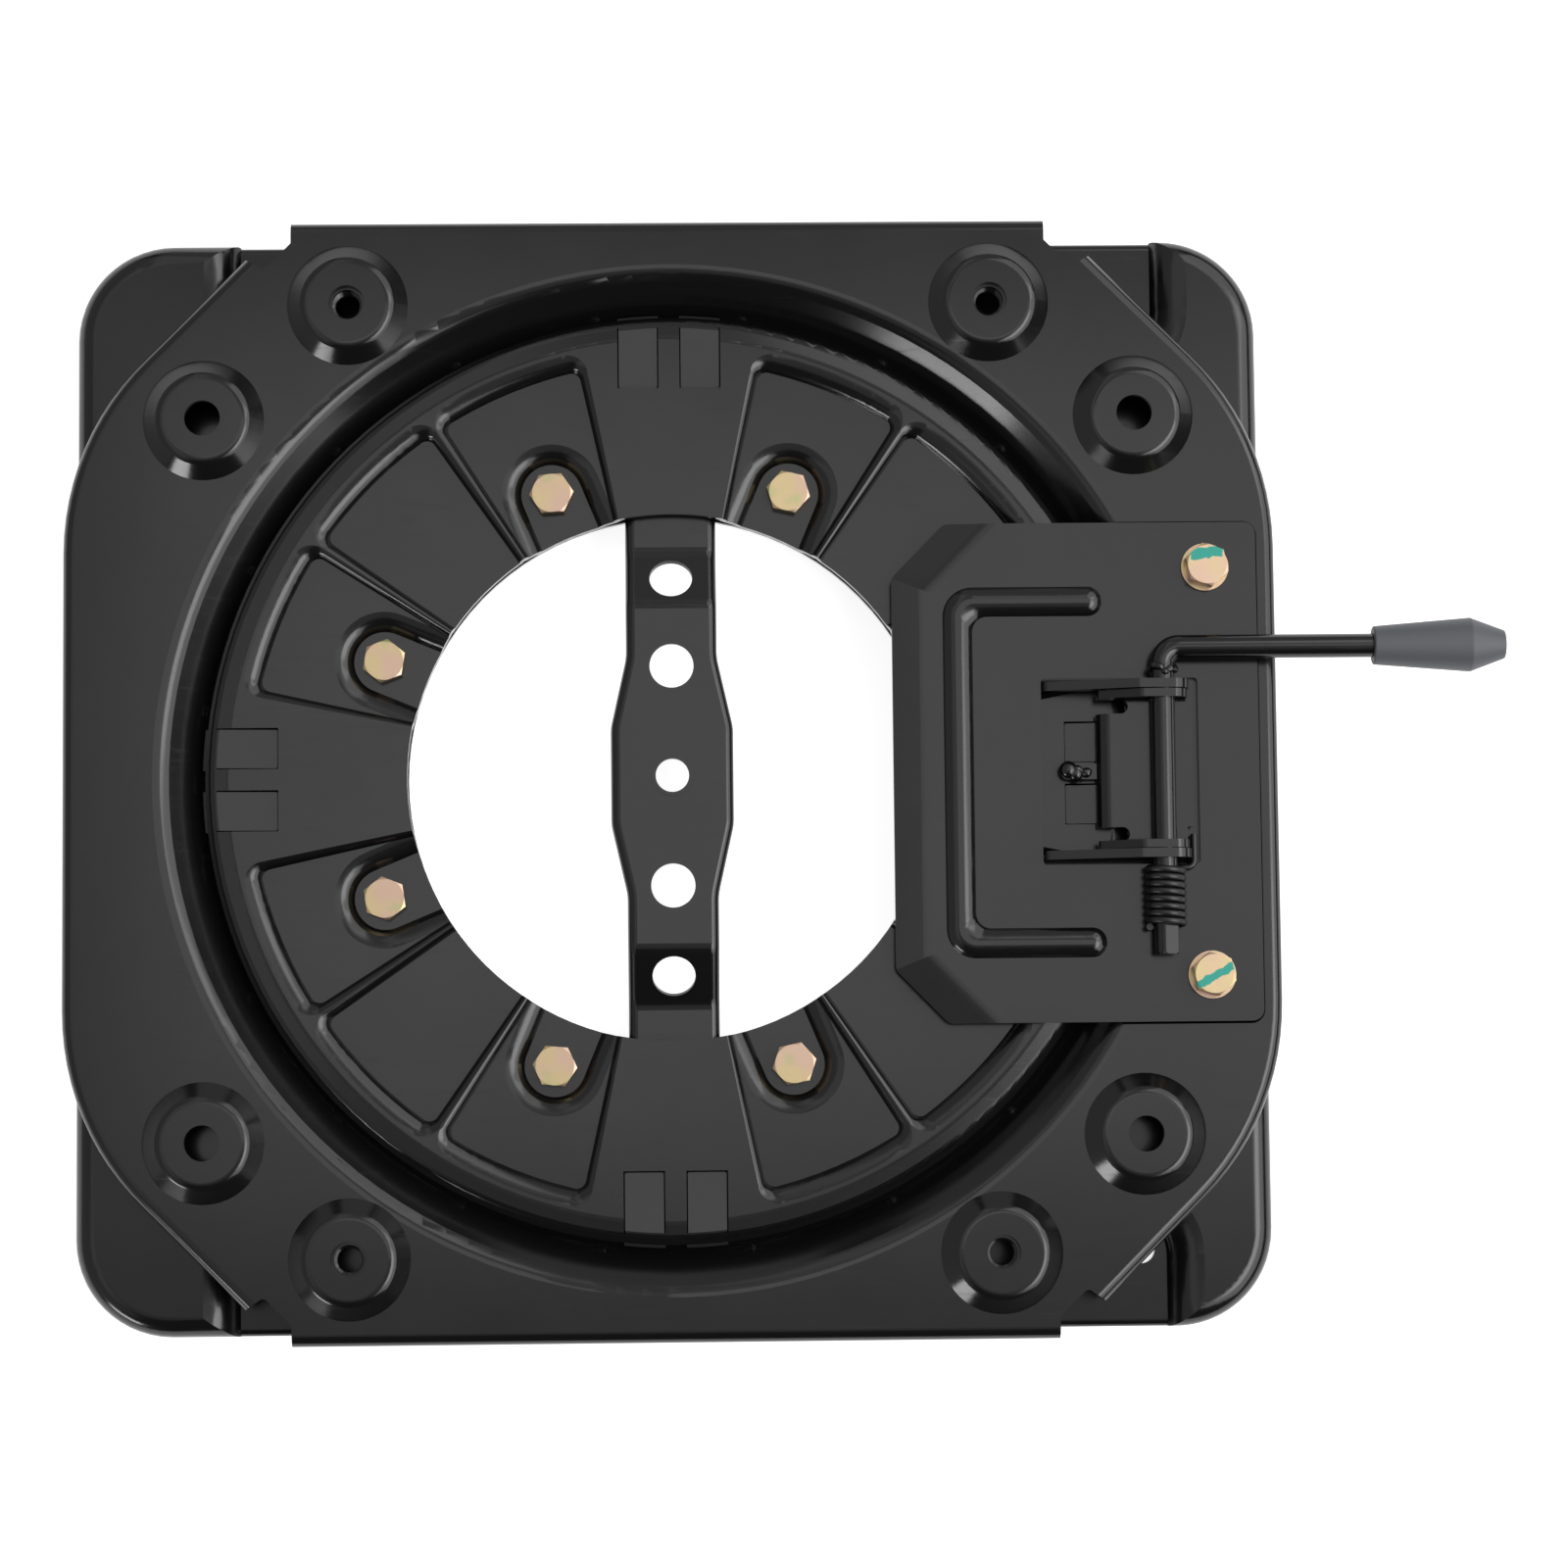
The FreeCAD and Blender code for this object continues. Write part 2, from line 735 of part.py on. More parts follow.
def strap_side(top):
    """Everything below the strap's side view: flat ends, a slope and a raised middle."""
    high = top + strap_rise
    past = strap_reach + sheet
    fold = strap_fold_radius
    low = ring_top - 2 * sheet
    corners = [
        (-past, low, 0.0), (-past, top, 0.0), (-strap_slope_end, top, fold), (-strap_slope_start, high, fold),
        (strap_slope_start, high, fold), (strap_slope_end, top, fold), (past, top, 0.0), (past, low, 0.0),
    ]
    face = Part.Face(outline(corners, cross_section(-strap_mid_half_width - sheet)))
    return face.extrude(vec(2 * (strap_mid_half_width + sheet), 0, 0))


def rolled_strap(inset):
    """Strap as a full block with softly rolled upper edges, seen from inset inside its surface."""
    low = ring_top - 2 * sheet
    high = ring_top + strap_height + strap_rise + sheet
    block = strap_side(ring_top + strap_height - inset).common(prism(strap_plan(inset), low, high))
    rim = []
    for edge in block.Edges:
        box_of = edge.BoundBox
        upright = box_of.XLength + box_of.YLength < 1e-6
        faces = [f for f in block.Faces if any(e.isSame(edge) for e in f.Edges)]
        upward = [f for f in faces if f.normalAt(*f.Surface.parameter(edge.CenterOfMass)).z > 0.5]
        if not upright and len(upward) == 1:
            rim.append(edge)
    return block.makeFillet(strap_edge_radius - inset, rim)


def centre_strap():
    top = ring_top + strap_height
    low = ring_top - sheet
    high = top + strap_rise
    keep = box(-strap_reach, strap_reach, -strap_reach, strap_reach, ring_top + running_gap, high)
    strap = rolled_strap(0.0).cut(rolled_strap(strap_sheet)).common(keep)
    strap = strap.fuse(cylinder(strap_collar_radius, high - strap_sheet, high + strap_collar_rise))
    holes = [cylinder(strap_centre_hole_radius, low, high + sheet)]
    slope = math.degrees(math.atan2(strap_rise, strap_slope_end - strap_slope_start))
    for side in (-1, 1):
        holes.append(cylinder(strap_hole_radius, low, high + sheet, 0.0, side * strap_inner_hole_y))
        pierce = cylinder(strap_slope_hole_radius, -strap_rise, strap_rise)
        pierce.rotate(vec(0, 0, 0), vec(1, 0, 0), -side * slope)
        middle = (strap_slope_end - strap_outer_hole_y) / (strap_slope_end - strap_slope_start)
        holes.append(moved(pierce, 0.0, side * strap_outer_hole_y, top + strap_rise * middle))
    return strap.cut(holes).removeSplitter()


# Latch plate

def latch_corners():
    near = [(latch_left, -latch_left_half_y), (latch_chamfer_x, -latch_half_y), (latch_right, -latch_half_y)]
    return [(u, v, latch_corner) for u, v in near + [(u, -v) for u, v in near[::-1]]]


def below_folds(drop):
    """Everything under the latch plate's surface: level, then dipping near the inner edges."""
    level = latch_top - drop
    far = latch_right + latch_half_y
    room = box(0.0, far, -far, far, table_top - 3 * sheet, level)
    chamfer = math.degrees(math.atan2(latch_chamfer_x - latch_left, latch_half_y - latch_left_half_y))
    dip = far * latch_fold_drop / latch_fold_run
    above = [(-far, -dip, 0.0), (0.0, 0.0, latch_fold_radius), (far, 0.0, 0.0), (far, far, 0.0), (-far, far, 0.0)]
    for turn, spot in ((0.0, 0.0), (-chamfer, 1.0), (chamfer, -1.0)):
        # block above one dipping strip, hinged on the fold line
        block = Part.Face(outline(above, side_section(-far))).extrude(vec(0, 2 * far, 0))
        block.rotate(vec(0, 0, 0), vec(0, 0, 1), turn)
        edge = vec(latch_left, spot * latch_left_half_y, 0)
        inward = vec(math.cos(math.radians(turn)), math.sin(math.radians(turn)), 0)
        hinge = edge + inward * latch_fold_run
        block.translate(vec(hinge.x, hinge.y, level))
        room = room.cut(block)
    return room


def rib_wire(share, z, shift):
    """Outline of the three-sided stiffening rib around the latch, from its foot to its crest."""
    half = rib_half_width - rib_wall_run * share + shift
    near = rib_x - half
    far = rib_x + half
    out = rib_half_y + half
    inn = rib_half_y - half
    end = rib_end_x + half
    tip = half * 0.95
    corners = [
        (end, inn, tip), (end, out, tip), (near, out, rib_bend + half), (near, -out, rib_bend + half),
        (end, -out, tip), (end, -inn, tip), (far, -inn, rib_bend), (far, inn, rib_bend),
    ]
    return outline(corners, flat_plan(z))


def folded_ear(path, side, thickness, front, rear):
    """Angle strip along X from a path of (y, z, radius) points, on one side of the latch."""
    section = [(side * u, v, r) for u, v, r in sheet_section(path, thickness)]
    return Part.Face(outline(section, cross_section(front))).extrude(vec(rear - front, 0, 0))


def latch_ears():
    """Pair of ears folded up from the long edges of the window to carry the shaft."""
    path = [(ear_outer_y, pivot_z + ear_crown, 0.0), (ear_outer_y, latch_top, ear_bend),
            (ear_outer_y + ear_foot, latch_top, 0.0)]
    return [folded_ear(path, side, ear_sheet, ear_front_x, ear_rear_x) for side in (-1, 1)]


def ear_outline(front, rear, front_height, crown, low):
    """Side view of an ear: low at the front, rounded over the shaft."""
    top = pivot_z + crown
    reach = pivot_x - crown * 1.3
    return [(front, low, 0.0), (rear, low, 0.0), (rear, top, crown * 0.9), (reach, top, crown),
            (front, front_height, 2.0)]


def latch_plate():
    plan = prism(latch_corners(), table_top - 2 * sheet, latch_top + sheet)
    plate = plan.common(below_folds(0.0)).cut(below_folds(latch_sheet))
    rib = rolled_block(rib_wire, latch_top, latch_top + rib_rise, rib_roll_start)
    slim = -latch_sheet * math.tan(math.atan2(rib_rise, rib_wall_run) / 2) * 2
    groove = Part.makeLoft([rib_wire(0.0, table_top, slim), rib_wire(0.4, table_top + rib_rise, slim)], True, True)
    plate = plate.fuse(rib).cut(groove)
    window_y = ear_outer_y + ear_bend
    opening = [(window_left, -window_y, ear_bend), (window_right, -window_y, ear_bend),
               (window_right, window_y, ear_bend), (window_left, window_y, ear_bend)]
    plate = plate.cut(prism(opening, table_top - sheet, latch_top + sheet))
    profile = ear_outline(ear_front_x, ear_rear_x, latch_top + ear_front_rise, ear_crown, table_top)
    side = outline(profile, side_section(-latch_half_y))
    limit = Part.Face(side).extrude(vec(0, 2 * latch_half_y, 0))
    plate = plate.fuse([ear.common(limit) for ear in latch_ears()])
    bore = across_bore(shaft_radius + fit_gap)
    holes = [cylinder(m8_hole_radius, table_top - sheet, latch_top + sheet, x, y) for x, y in latch_places()]
    return plate.cut([bore] + holes).removeSplitter()


# Latch mechanism

def across_bore(radius):
    """Cylinder along the latch's pivot, longer than the latch."""
    return Part.makeCylinder(radius, 2 * latch_half_y, vec(pivot_x, -latch_half_y, pivot_z), vec(0, 1, 0))


def pawl_blank():
    """The pawl before its cuts: a flat with a bent front leg, between two upright ears."""
    path = [(-pawl_rear_x, pawl_top, 0.0), (-pawl_front_x, pawl_top, pawl_bend + pawl_sheet),
            (-pawl_front_x, tooth_tip, 0.0)]
    section = [(-u, v, r) for u, v, r in sheet_section(path, pawl_sheet)]
    body = Part.Face(outline(section, side_section(-pawl_neck_half_y))).extrude(vec(0, 2 * pawl_neck_half_y, 0))
    inner_y = pawl_ear_outer_y - pawl_sheet
    path = [(0.0, pawl_top, 0.0), (inner_y, pawl_top, pawl_ear_bend), (inner_y, pivot_z + pawl_crown, 0.0)]
    rear = ear_rear_x - pawl_ear_setback
    profile = ear_outline(pawl_front_x, rear, pawl_top + pawl_ear_front_rise, pawl_crown, pawl_top - pawl_sheet)
    limit = Part.Face(outline(profile, side_section(-latch_half_y))).extrude(vec(0, 2 * latch_half_y, 0))
    notch_radius = (inner_y - pawl_neck_half_y) / 2
    notch_end = pawl_neck_x - notch_radius
    low = pawl_top - pawl_sheet - sheet
    high = pawl_top + sheet
    front = pawl_front_x - sheet
    cuts = [box(front, notch_end, -pawl_neck_half_y, pawl_neck_half_y, low, high)]
    for side in (-1, 1):
        notch_y = side * (inner_y - notch_radius)
        cuts.append(box(front, notch_end, notch_y - notch_radius, notch_y + notch_radius, low, high))
        cuts.append(cylinder(notch_radius, low, high, notch_end, notch_y))
    wings = []
    for side in (-1, 1):
        ear = folded_ear(path, side, pawl_sheet, pawl_front_x, rear)
        wings.append(ear.common(limit).cut(cuts))
    return body.fuse(wings)


def locking_pawl():
    """Pawl with its leg cut into two teeth, each fitting one slot of the disc."""
    shoulder = tooth_tip + tooth_shoulder
    near = slot_gap / 2 + tooth_clearance
    far = slot_gap / 2 + slot_width - tooth_clearance
    front = pawl_front_x - sheet
    back = pawl_front_x + 2 * sheet
    beyond = pawl_neck_half_y + sheet
    gaps = [box(front, back, -near, near, tooth_tip - sheet, shoulder)]
    gaps.append(box(front, back, far, beyond, tooth_tip - sheet, shoulder))
    gaps.append(box(front, back, -beyond, -far, tooth_tip - sheet, shoulder))
    bore = across_bore(shaft_radius + push_gap)
    return pawl_blank().cut(gaps).cut(bore).removeSplitter()


def pawl_stop():
    """Nose welded to the pawl's leg, which lands on the disc between the slots when locked."""
    tip = pawl_front_x - stop_length
    low = disc_top + running_gap + (pivot_x - tip) * math.sin(math.radians(lock_angle))
    high = low + stop_height
    half = stop_half_width
    nose = prism([(pawl_front_x, -half, 0.0), (pawl_front_x, half, 0.0), (tip, half, half * 0.9),
                  (tip, -half, half * 0.9)], low, high)
    keep = box(tip - stop_length, pawl_front_x, -2 * bead_radius, 2 * bead_radius, low, pivot_z)
    lumps = []
    for along, across, scale in ((0.22, 0.5, 1.0), (0.42, -0.8, 0.85)):
        radius = bead_radius * scale
        spot = vec(tip + along * stop_length, across, high - radius * 0.4)
        lumps.append(Part.makeSphere(radius, spot).common(keep))
    return nose.fuse(lumps).removeSplitter()


def pivot_shaft():
    start = vec(pivot_x, shaft_end_y, pivot_z)
    shaft = Part.makeCylinder(shaft_radius, shaft_far_y - shaft_end_y, start, vec(0, 1, 0))
    shaft = shaft.makeChamfer(shaft_chamfer, [e for e in shaft.Edges if abs(e.BoundBox.YMax - shaft_end_y) < 1e-6])
    for side in (-1, 1):
        low = pivot_z + side * shaft_flat
        high = pivot_z + side * (shaft_radius + 1.0)
        cut = box(pivot_x - shaft_radius - 1, pivot_x + shaft_radius + 1, shaft_end_y - 1,
                  shaft_end_y + shaft_flat_length, min(low, high), max(low, high))
        cut.rotate(vec(pivot_x, 0, pivot_z), vec(0, 1, 0), shaft_flat_turn)
        shaft = shaft.cut(cut)
    return shaft


def handle_rod():
    """Bent round rod from the end of the shaft to the grip."""
    start_y = shaft_far_y + running_gap
    a = vec(pivot_x, start_y, pivot_z)
    b = vec(pivot_x, rod_y - rod_bend, pivot_z)
    c = vec(pivot_x + rod_bend, rod_y, pivot_z)
    d = vec(knob_start_x + knob_bore_depth, rod_y, pivot_z)
    middle = vec(pivot_x + rod_bend * (1 - math.sqrt(0.5)), rod_y - rod_bend * (1 - math.sqrt(0.5)), pivot_z)
    edges = [Part.LineSegment(a, b).toShape(), Part.Arc(b, middle, c).toShape(), Part.LineSegment(c, d).toShape()]
    ring = Part.Wire([Part.makeCircle(rod_radius, a, vec(0, 1, 0))])
    return Part.Wire(edges).makePipeShell([ring], True, True)


def handle_weld():
    """Collar of weld that joins the rod to the shaft."""
    low = shaft_far_y - weld_near
    high = shaft_far_y + weld_far
    r = shaft_radius + push_gap
    bulge = [
        (r, low, 0.0), (r + weld_rise, shaft_far_y - weld_near / 3, weld_rise),
        (r + weld_rise, shaft_far_y + weld_far / 2, weld_rise / 2), (r, high, 0.0),
    ]
    ring = Part.Face(outline(bulge, lambda u, v: vec(pivot_x + u, v, pivot_z)))
    return ring.revolve(vec(pivot_x, 0, pivot_z), vec(0, 1, 0), 360)


def handle_knob():
    end = knob_end_x
    bore = rod_radius + push_gap
    bore_end = knob_start_x + knob_bore_depth
    profile = [
        (knob_start_x, bore, 0.0), (knob_start_x, knob_neck_radius, 0.6),
        (knob_shoulder_x, knob_shoulder_radius, 1.5), (end, knob_tip_radius, 0.8), (end, 0.0, 0.0),
        (bore_end, 0.0, 0.0), (bore_end, bore, 0.0),
    ]
    face = Part.Face(outline(profile, lambda u, v: vec(u, rod_y + v, pivot_z)))
    return face.revolve(vec(0, rod_y, pivot_z), vec(1, 0, 0), 360)


def torsion_spring():
    """Wound spring round the shaft, with one leg hooked behind the latch plate's ear."""
    wire_radius = spring_wire / 2
    coil = spring_outer_radius - wire_radius
    start_y = -(ear_outer_y + spring_gap + wire_radius)
    low_z = pivot_z - coil
    helix = Part.makeHelix(spring_pitch, spring_pitch * spring_turns, coil, 0, True)
    ring = Part.Wire([Part.makeCircle(wire_radius, vec(coil, 0, 0), vec(0, 1, 0))])
    winding = Part.Wire(helix.Edges).makePipeShell([ring], True, True)
    winding.rotate(vec(0, 0, 0), vec(1, 0, 0), 90)
    winding.rotate(vec(0, 0, 0), vec(0, 1, 0), 90)
    winding.translate(vec(pivot_x, start_y, pivot_z))
    leg_x = ear_rear_x + spring_leg_gap + wire_radius
    bend = spring_leg_bend
    slant = bend * (1 - math.sqrt(0.5))
    a = vec(leg_x, spring_leg_end_y, low_z)
    b = vec(leg_x, start_y + bend, low_z)
    c = vec(leg_x - bend, start_y, low_z)
    d = vec(pivot_x, start_y, low_z)
    middle = vec(leg_x - slant, start_y + slant, low_z)
    edges = [Part.LineSegment(a, b).toShape(), Part.Arc(b, middle, c).toShape(), Part.LineSegment(c, d).toShape()]
    end = Part.Wire([Part.makeCircle(wire_radius, a, vec(0, 1, 0))])
    leg = Part.Wire(edges).makePipeShell([end], True, False)
    return leg.fuse([winding, Part.makeSphere(wire_radius, d)]).removeSplitter()


# Fasteners

def hexagon(across_flats):
    """Corners of a hexagon about the Z axis, with flats facing X."""
    radius = across_flats / math.sqrt(3)
    return [(radius * math.cos(math.radians(30 + 60 * i)), radius * math.sin(math.radians(30 + 60 * i)), 0.0)
            for i in range(6)]


def hex_head(across_flats, low, high):
    """Hexagonal head or nut with its top corners turned off."""
    head = prism(hexagon(across_flats), low, high)
    corner = across_flats / math.sqrt(3)
    rise = (corner - across_flats / 2) * math.tan(math.radians(30))
    return head.common(cylinder(corner, low, high - rise).fuse(cone(corner, high - rise, across_flats / 2, high)))


def m8_bolt(seat, length):
    head = hex_head(m8_across_flats, seat, seat + m8_head)
    shank = cylinder(m8_radius, seat - length, seat)
    return head.fuse(shank)


def disc_bolts():
    length = 2 * sheet + m8_nut + disc_bolt_end
    bolt = m8_bolt(pad_top, length)
    return Part.makeCompound([moved(turned(bolt, bolt_turn * i), x, y) for i, (x, y) in enumerate(bolt_places())])


def disc_nuts():
    seat = ring_top - sheet
    nut = hex_head(m8_across_flats, seat - m8_nut, seat).cut(cylinder(m8_radius + push_gap, seat - m8_nut, seat))
    return Part.makeCompound([moved(turned(nut, nut_turn * i), x, y) for i, (x, y) in enumerate(bolt_places())])


def latch_places():
    return [(latch_bolt_x, latch_bolt_y), (latch_bolt_x, -latch_bolt_y)]


def latch_stack(shape):
    return Part.makeCompound([moved(shape, x, y) for x, y in latch_places()])


def latch_bolts():
    seat = latch_top + m8_washer + m8_spring_washer
    length = m8_washer + m8_spring_washer + latch_sheet + sheet + m8_nut + latch_bolt_end
    return latch_stack(turned(m8_bolt(seat, length), latch_bolt_turn))


def flat_washers():
    ring = cylinder(m8_washer_radius, latch_top, latch_top + m8_washer)
    return latch_stack(ring.cut(cylinder(m8_radius + 0.2, latch_top, latch_top + m8_washer)))


def spring_washers():
    low = latch_top + m8_washer
    high = low + m8_spring_washer
    ring = cylinder(m8_spring_washer_radius, low, high).cut(cylinder(m8_radius + 0.1, low, high))
    half = m8_spring_washer_gap / 2
    split = box(0.0, m8_washer_radius, -half, half, low, high)
    split.rotate(vec(0, 0, (low + high) / 2), vec(1, 0, 0), m8_spring_washer_slant)
    return latch_stack(ring.cut(split))


def latch_weld_nuts():
    seat = table_top - sheet
    nut = hex_head(m8_across_flats, seat - m8_nut, seat).cut(cylinder(m8_radius + push_gap, seat - m8_nut, seat))
    return latch_stack(nut)


def seat_weld_nuts():
    seat = -sheet
    nut = hex_head(m10_across_flats, seat - m10_nut, seat).cut(cylinder(m10_radius + push_gap, seat - m10_nut, seat))
    return Part.makeCompound([moved(nut, x, y) for x, y in mirrored_quarters(long_pattern_x, long_pattern_y)])


def write(name, shape):
    """Saves one node and reports its solids."""
    solids = shape.Solids
    volume = sum(s.Volume for s in solids)
    state = "valid" if shape.isValid() else "NOT VALID"
    faces = len(shape.Faces)
    print(name, len(solids), "solids", faces, "faces", round(volume), "mm3", state)
    shape.exportStep("parts/" + name + ".step")


def main():
    os.makedirs("parts", exist_ok=True)
    write("lower_plate", lower_plate())
    write("centre_strap", centre_strap())
    write("retaining_disc", retaining_disc())
    write("disc_bolts", disc_bolts())
    write("disc_nuts", disc_nuts())
    write("upper_balls", ball_row(upper_ball_top))
    write("upper_ball_cage", ball_cage(upper_ball_top))
    write("lower_balls", ball_row(lower_ball_top))
    write("lower_ball_cage", ball_cage(lower_ball_top))
    write("turntable_plate", turntable_plate())
    write("seat_weld_nuts", seat_weld_nuts())
    write("latch_plate", latch_plate())
    write("latch_bolts", latch_bolts())
    write("latch_flat_washers", flat_washers())
    write("latch_spring_washers", spring_washers())
    write("latch_weld_nuts", latch_weld_nuts())
    write("locking_pawl", locking_pawl())
    write("pawl_stop", pawl_stop())
    write("pivot_shaft", pivot_shaft())
    write("torsion_spring", torsion_spring())
    write("handle_rod", handle_rod())
    write("handle_weld", handle_weld())
    write("handle_knob", handle_knob())


main()
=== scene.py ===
"""Looks of a swivel seat base: powder-coated pressings, zinc fasteners and a sprung latch.

Lengths are in metres unless a name ends in _mm. The origin is on the turning axis, in the plane
of the seat bosses, with +X towards the release handle and +Z up, as in the solid model.
"""

import json
import logging
import math
import random
from dataclasses import dataclass
from enum import Enum
from functools import cached_property

import bpy
from mathutils import Euler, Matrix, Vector


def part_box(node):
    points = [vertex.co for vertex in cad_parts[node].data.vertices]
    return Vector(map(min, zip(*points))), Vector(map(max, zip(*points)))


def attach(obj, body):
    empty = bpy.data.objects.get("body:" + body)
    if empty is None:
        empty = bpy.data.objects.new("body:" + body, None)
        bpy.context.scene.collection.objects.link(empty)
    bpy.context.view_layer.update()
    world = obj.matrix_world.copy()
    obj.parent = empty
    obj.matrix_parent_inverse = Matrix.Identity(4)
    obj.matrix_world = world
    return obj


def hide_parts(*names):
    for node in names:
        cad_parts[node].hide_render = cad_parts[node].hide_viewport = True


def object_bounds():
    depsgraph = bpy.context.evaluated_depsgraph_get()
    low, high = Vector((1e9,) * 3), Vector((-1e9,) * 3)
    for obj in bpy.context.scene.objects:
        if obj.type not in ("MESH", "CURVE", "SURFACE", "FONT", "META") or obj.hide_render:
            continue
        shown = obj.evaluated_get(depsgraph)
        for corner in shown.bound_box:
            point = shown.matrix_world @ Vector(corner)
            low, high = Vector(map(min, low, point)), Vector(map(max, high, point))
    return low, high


log = logging.getLogger("swivel_base")
MM = 0.001

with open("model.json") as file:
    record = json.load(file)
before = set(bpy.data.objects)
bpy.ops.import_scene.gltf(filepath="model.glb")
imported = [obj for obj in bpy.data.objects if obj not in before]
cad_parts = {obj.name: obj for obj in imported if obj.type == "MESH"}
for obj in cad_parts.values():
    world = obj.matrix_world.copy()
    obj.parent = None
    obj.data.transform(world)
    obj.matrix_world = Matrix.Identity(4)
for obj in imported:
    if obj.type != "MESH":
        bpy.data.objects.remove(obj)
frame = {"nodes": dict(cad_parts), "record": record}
solid_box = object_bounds()


class Slot(Enum):
    """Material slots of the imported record."""

    POWDER_COAT = "black_powder_coat"
    SPRING_WIRE = "spring_wire"
    YELLOW_ZINC = "yellow_zinc"
    BALL_STEEL = "ball_steel"
    CAGE_PLASTIC = "cage_plastic"
    GRIP_PLASTIC = "grey_plastic"


@dataclass
class NodeGraph:
    """Short helpers for building the nodes of one material or group."""

    tree: bpy.types.NodeTree

    def add(self, kind: str, **values: object) -> bpy.types.Node:
        """Adds a node and sets its properties, or its inputs by their socket names.

        Args:
            kind: the node's type name.
            values: properties, or inputs with underscores for spaces. A socket is linked.

        Returns:
            The new node.
        """
        node = self.tree.nodes.new(kind)
        for name, value in values.items():
            wanted = name.replace("_", " ").lower()
            matches = [s for s in node.inputs if s.name.lower() == wanted and s.enabled]
            if matches:
                self.feed(matches[0], value)
            else:
                setattr(node, name, value)
        return node

    def feed(self, socket: bpy.types.NodeSocket, value: object) -> None:
        """Links a socket to the input, or gives it a plain value.

        Args:
            socket: the input.
            value: a socket to link, or a plain value.
        """
        if isinstance(value, bpy.types.NodeSocket):
            self.tree.links.new(value, socket)
        else:
            socket.default_value = value

    def math(self, operation: str, *values: object) -> bpy.types.NodeSocket:
        """Joins one to three numbers by a Math node.

        Args:
            operation: the node's operation.
            values: sockets or plain numbers.

        Returns:
            The result's socket.
        """
        node = self.tree.nodes.new("ShaderNodeMath")
        node.operation = operation
        for socket, value in zip(node.inputs, values):
            self.feed(socket, value)
        return node.outputs[0]

    def blend(self, share: object, first: object, second: object) -> bpy.types.NodeSocket:
        """Mixes two colours.

        Args:
            share: how much of the second colour, from 0 to 1.
            first: a socket or (r, g, b).
            second: a socket or (r, g, b).

        Returns:
            The mixed colour's socket.
        """
        node = self.tree.nodes.new("ShaderNodeMix")
        node.data_type = "RGBA"
        colours = [v if isinstance(v, bpy.types.NodeSocket) else (*v, 1.0) for v in (first, second)]
        self.feed(node.inputs["Factor"], share)
        for name, colour in zip(("A", "B"), colours):
            socket = next(s for s in node.inputs if s.name == name and s.type == "RGBA")
            self.feed(socket, colour)
        return next(s for s in node.outputs if s.type == "RGBA")

    def spread(
        self, value: object, low: float, high: float, start: float = 0.0, end: float = 1.0,
    ) -> bpy.types.NodeSocket:
        """Maps a number's range start to end onto low to high, and clamps it."""
        limits = {"from_min": start, "from_max": end, "to_min": low, "to_max": high}
        return self.add("ShaderNodeMapRange", value=value, **limits).outputs["Result"]

    def group(self, tree: bpy.types.NodeTree, **values: object) -> bpy.types.Node:
        """Places a shared node group with its own values.

        Args:
            tree: the shared group.
            values: its inputs, with underscores for spaces. A socket is linked.

        Returns:
            The group's node.
        """
        node = self.tree.nodes.new("ShaderNodeGroup")
        node.node_tree = tree
        for name, value in values.items():
            self.feed(node.inputs[name.replace("_", " ")], value)
        return node


def new_group(name: str, inputs: dict[str, float], outputs: tuple[str, ...]) -> NodeGraph:
    """Makes an empty node group with named number sockets.

    Args:
        name: the group's name.
        inputs: the inputs with their defaults.
        outputs: the outputs' names.

    Returns:
        The group's graph.
    """
    tree = bpy.data.node_groups.new(name, "ShaderNodeTree")
    for label, value in inputs.items():
        socket = tree.interface.new_socket(name=label, in_out="INPUT", socket_type="NodeSocketFloat")
        socket.default_value = value
    for label in outputs:
        tree.interface.new_socket(name=label, in_out="OUTPUT", socket_type="NodeSocketFloat")
    return NodeGraph(tree)


def new_material(name: str) -> tuple[bpy.types.Material, NodeGraph, bpy.types.Node]:
    """Makes a material with an untouched Principled shader.

    Args:
        name: the material's name.

    Returns:
        The material, its graph and its shader node.
    """
    material = bpy.data.materials.new(name)
    material.use_nodes = True
    return material, NodeGraph(material.node_tree), material.node_tree.nodes["Principled BSDF"]


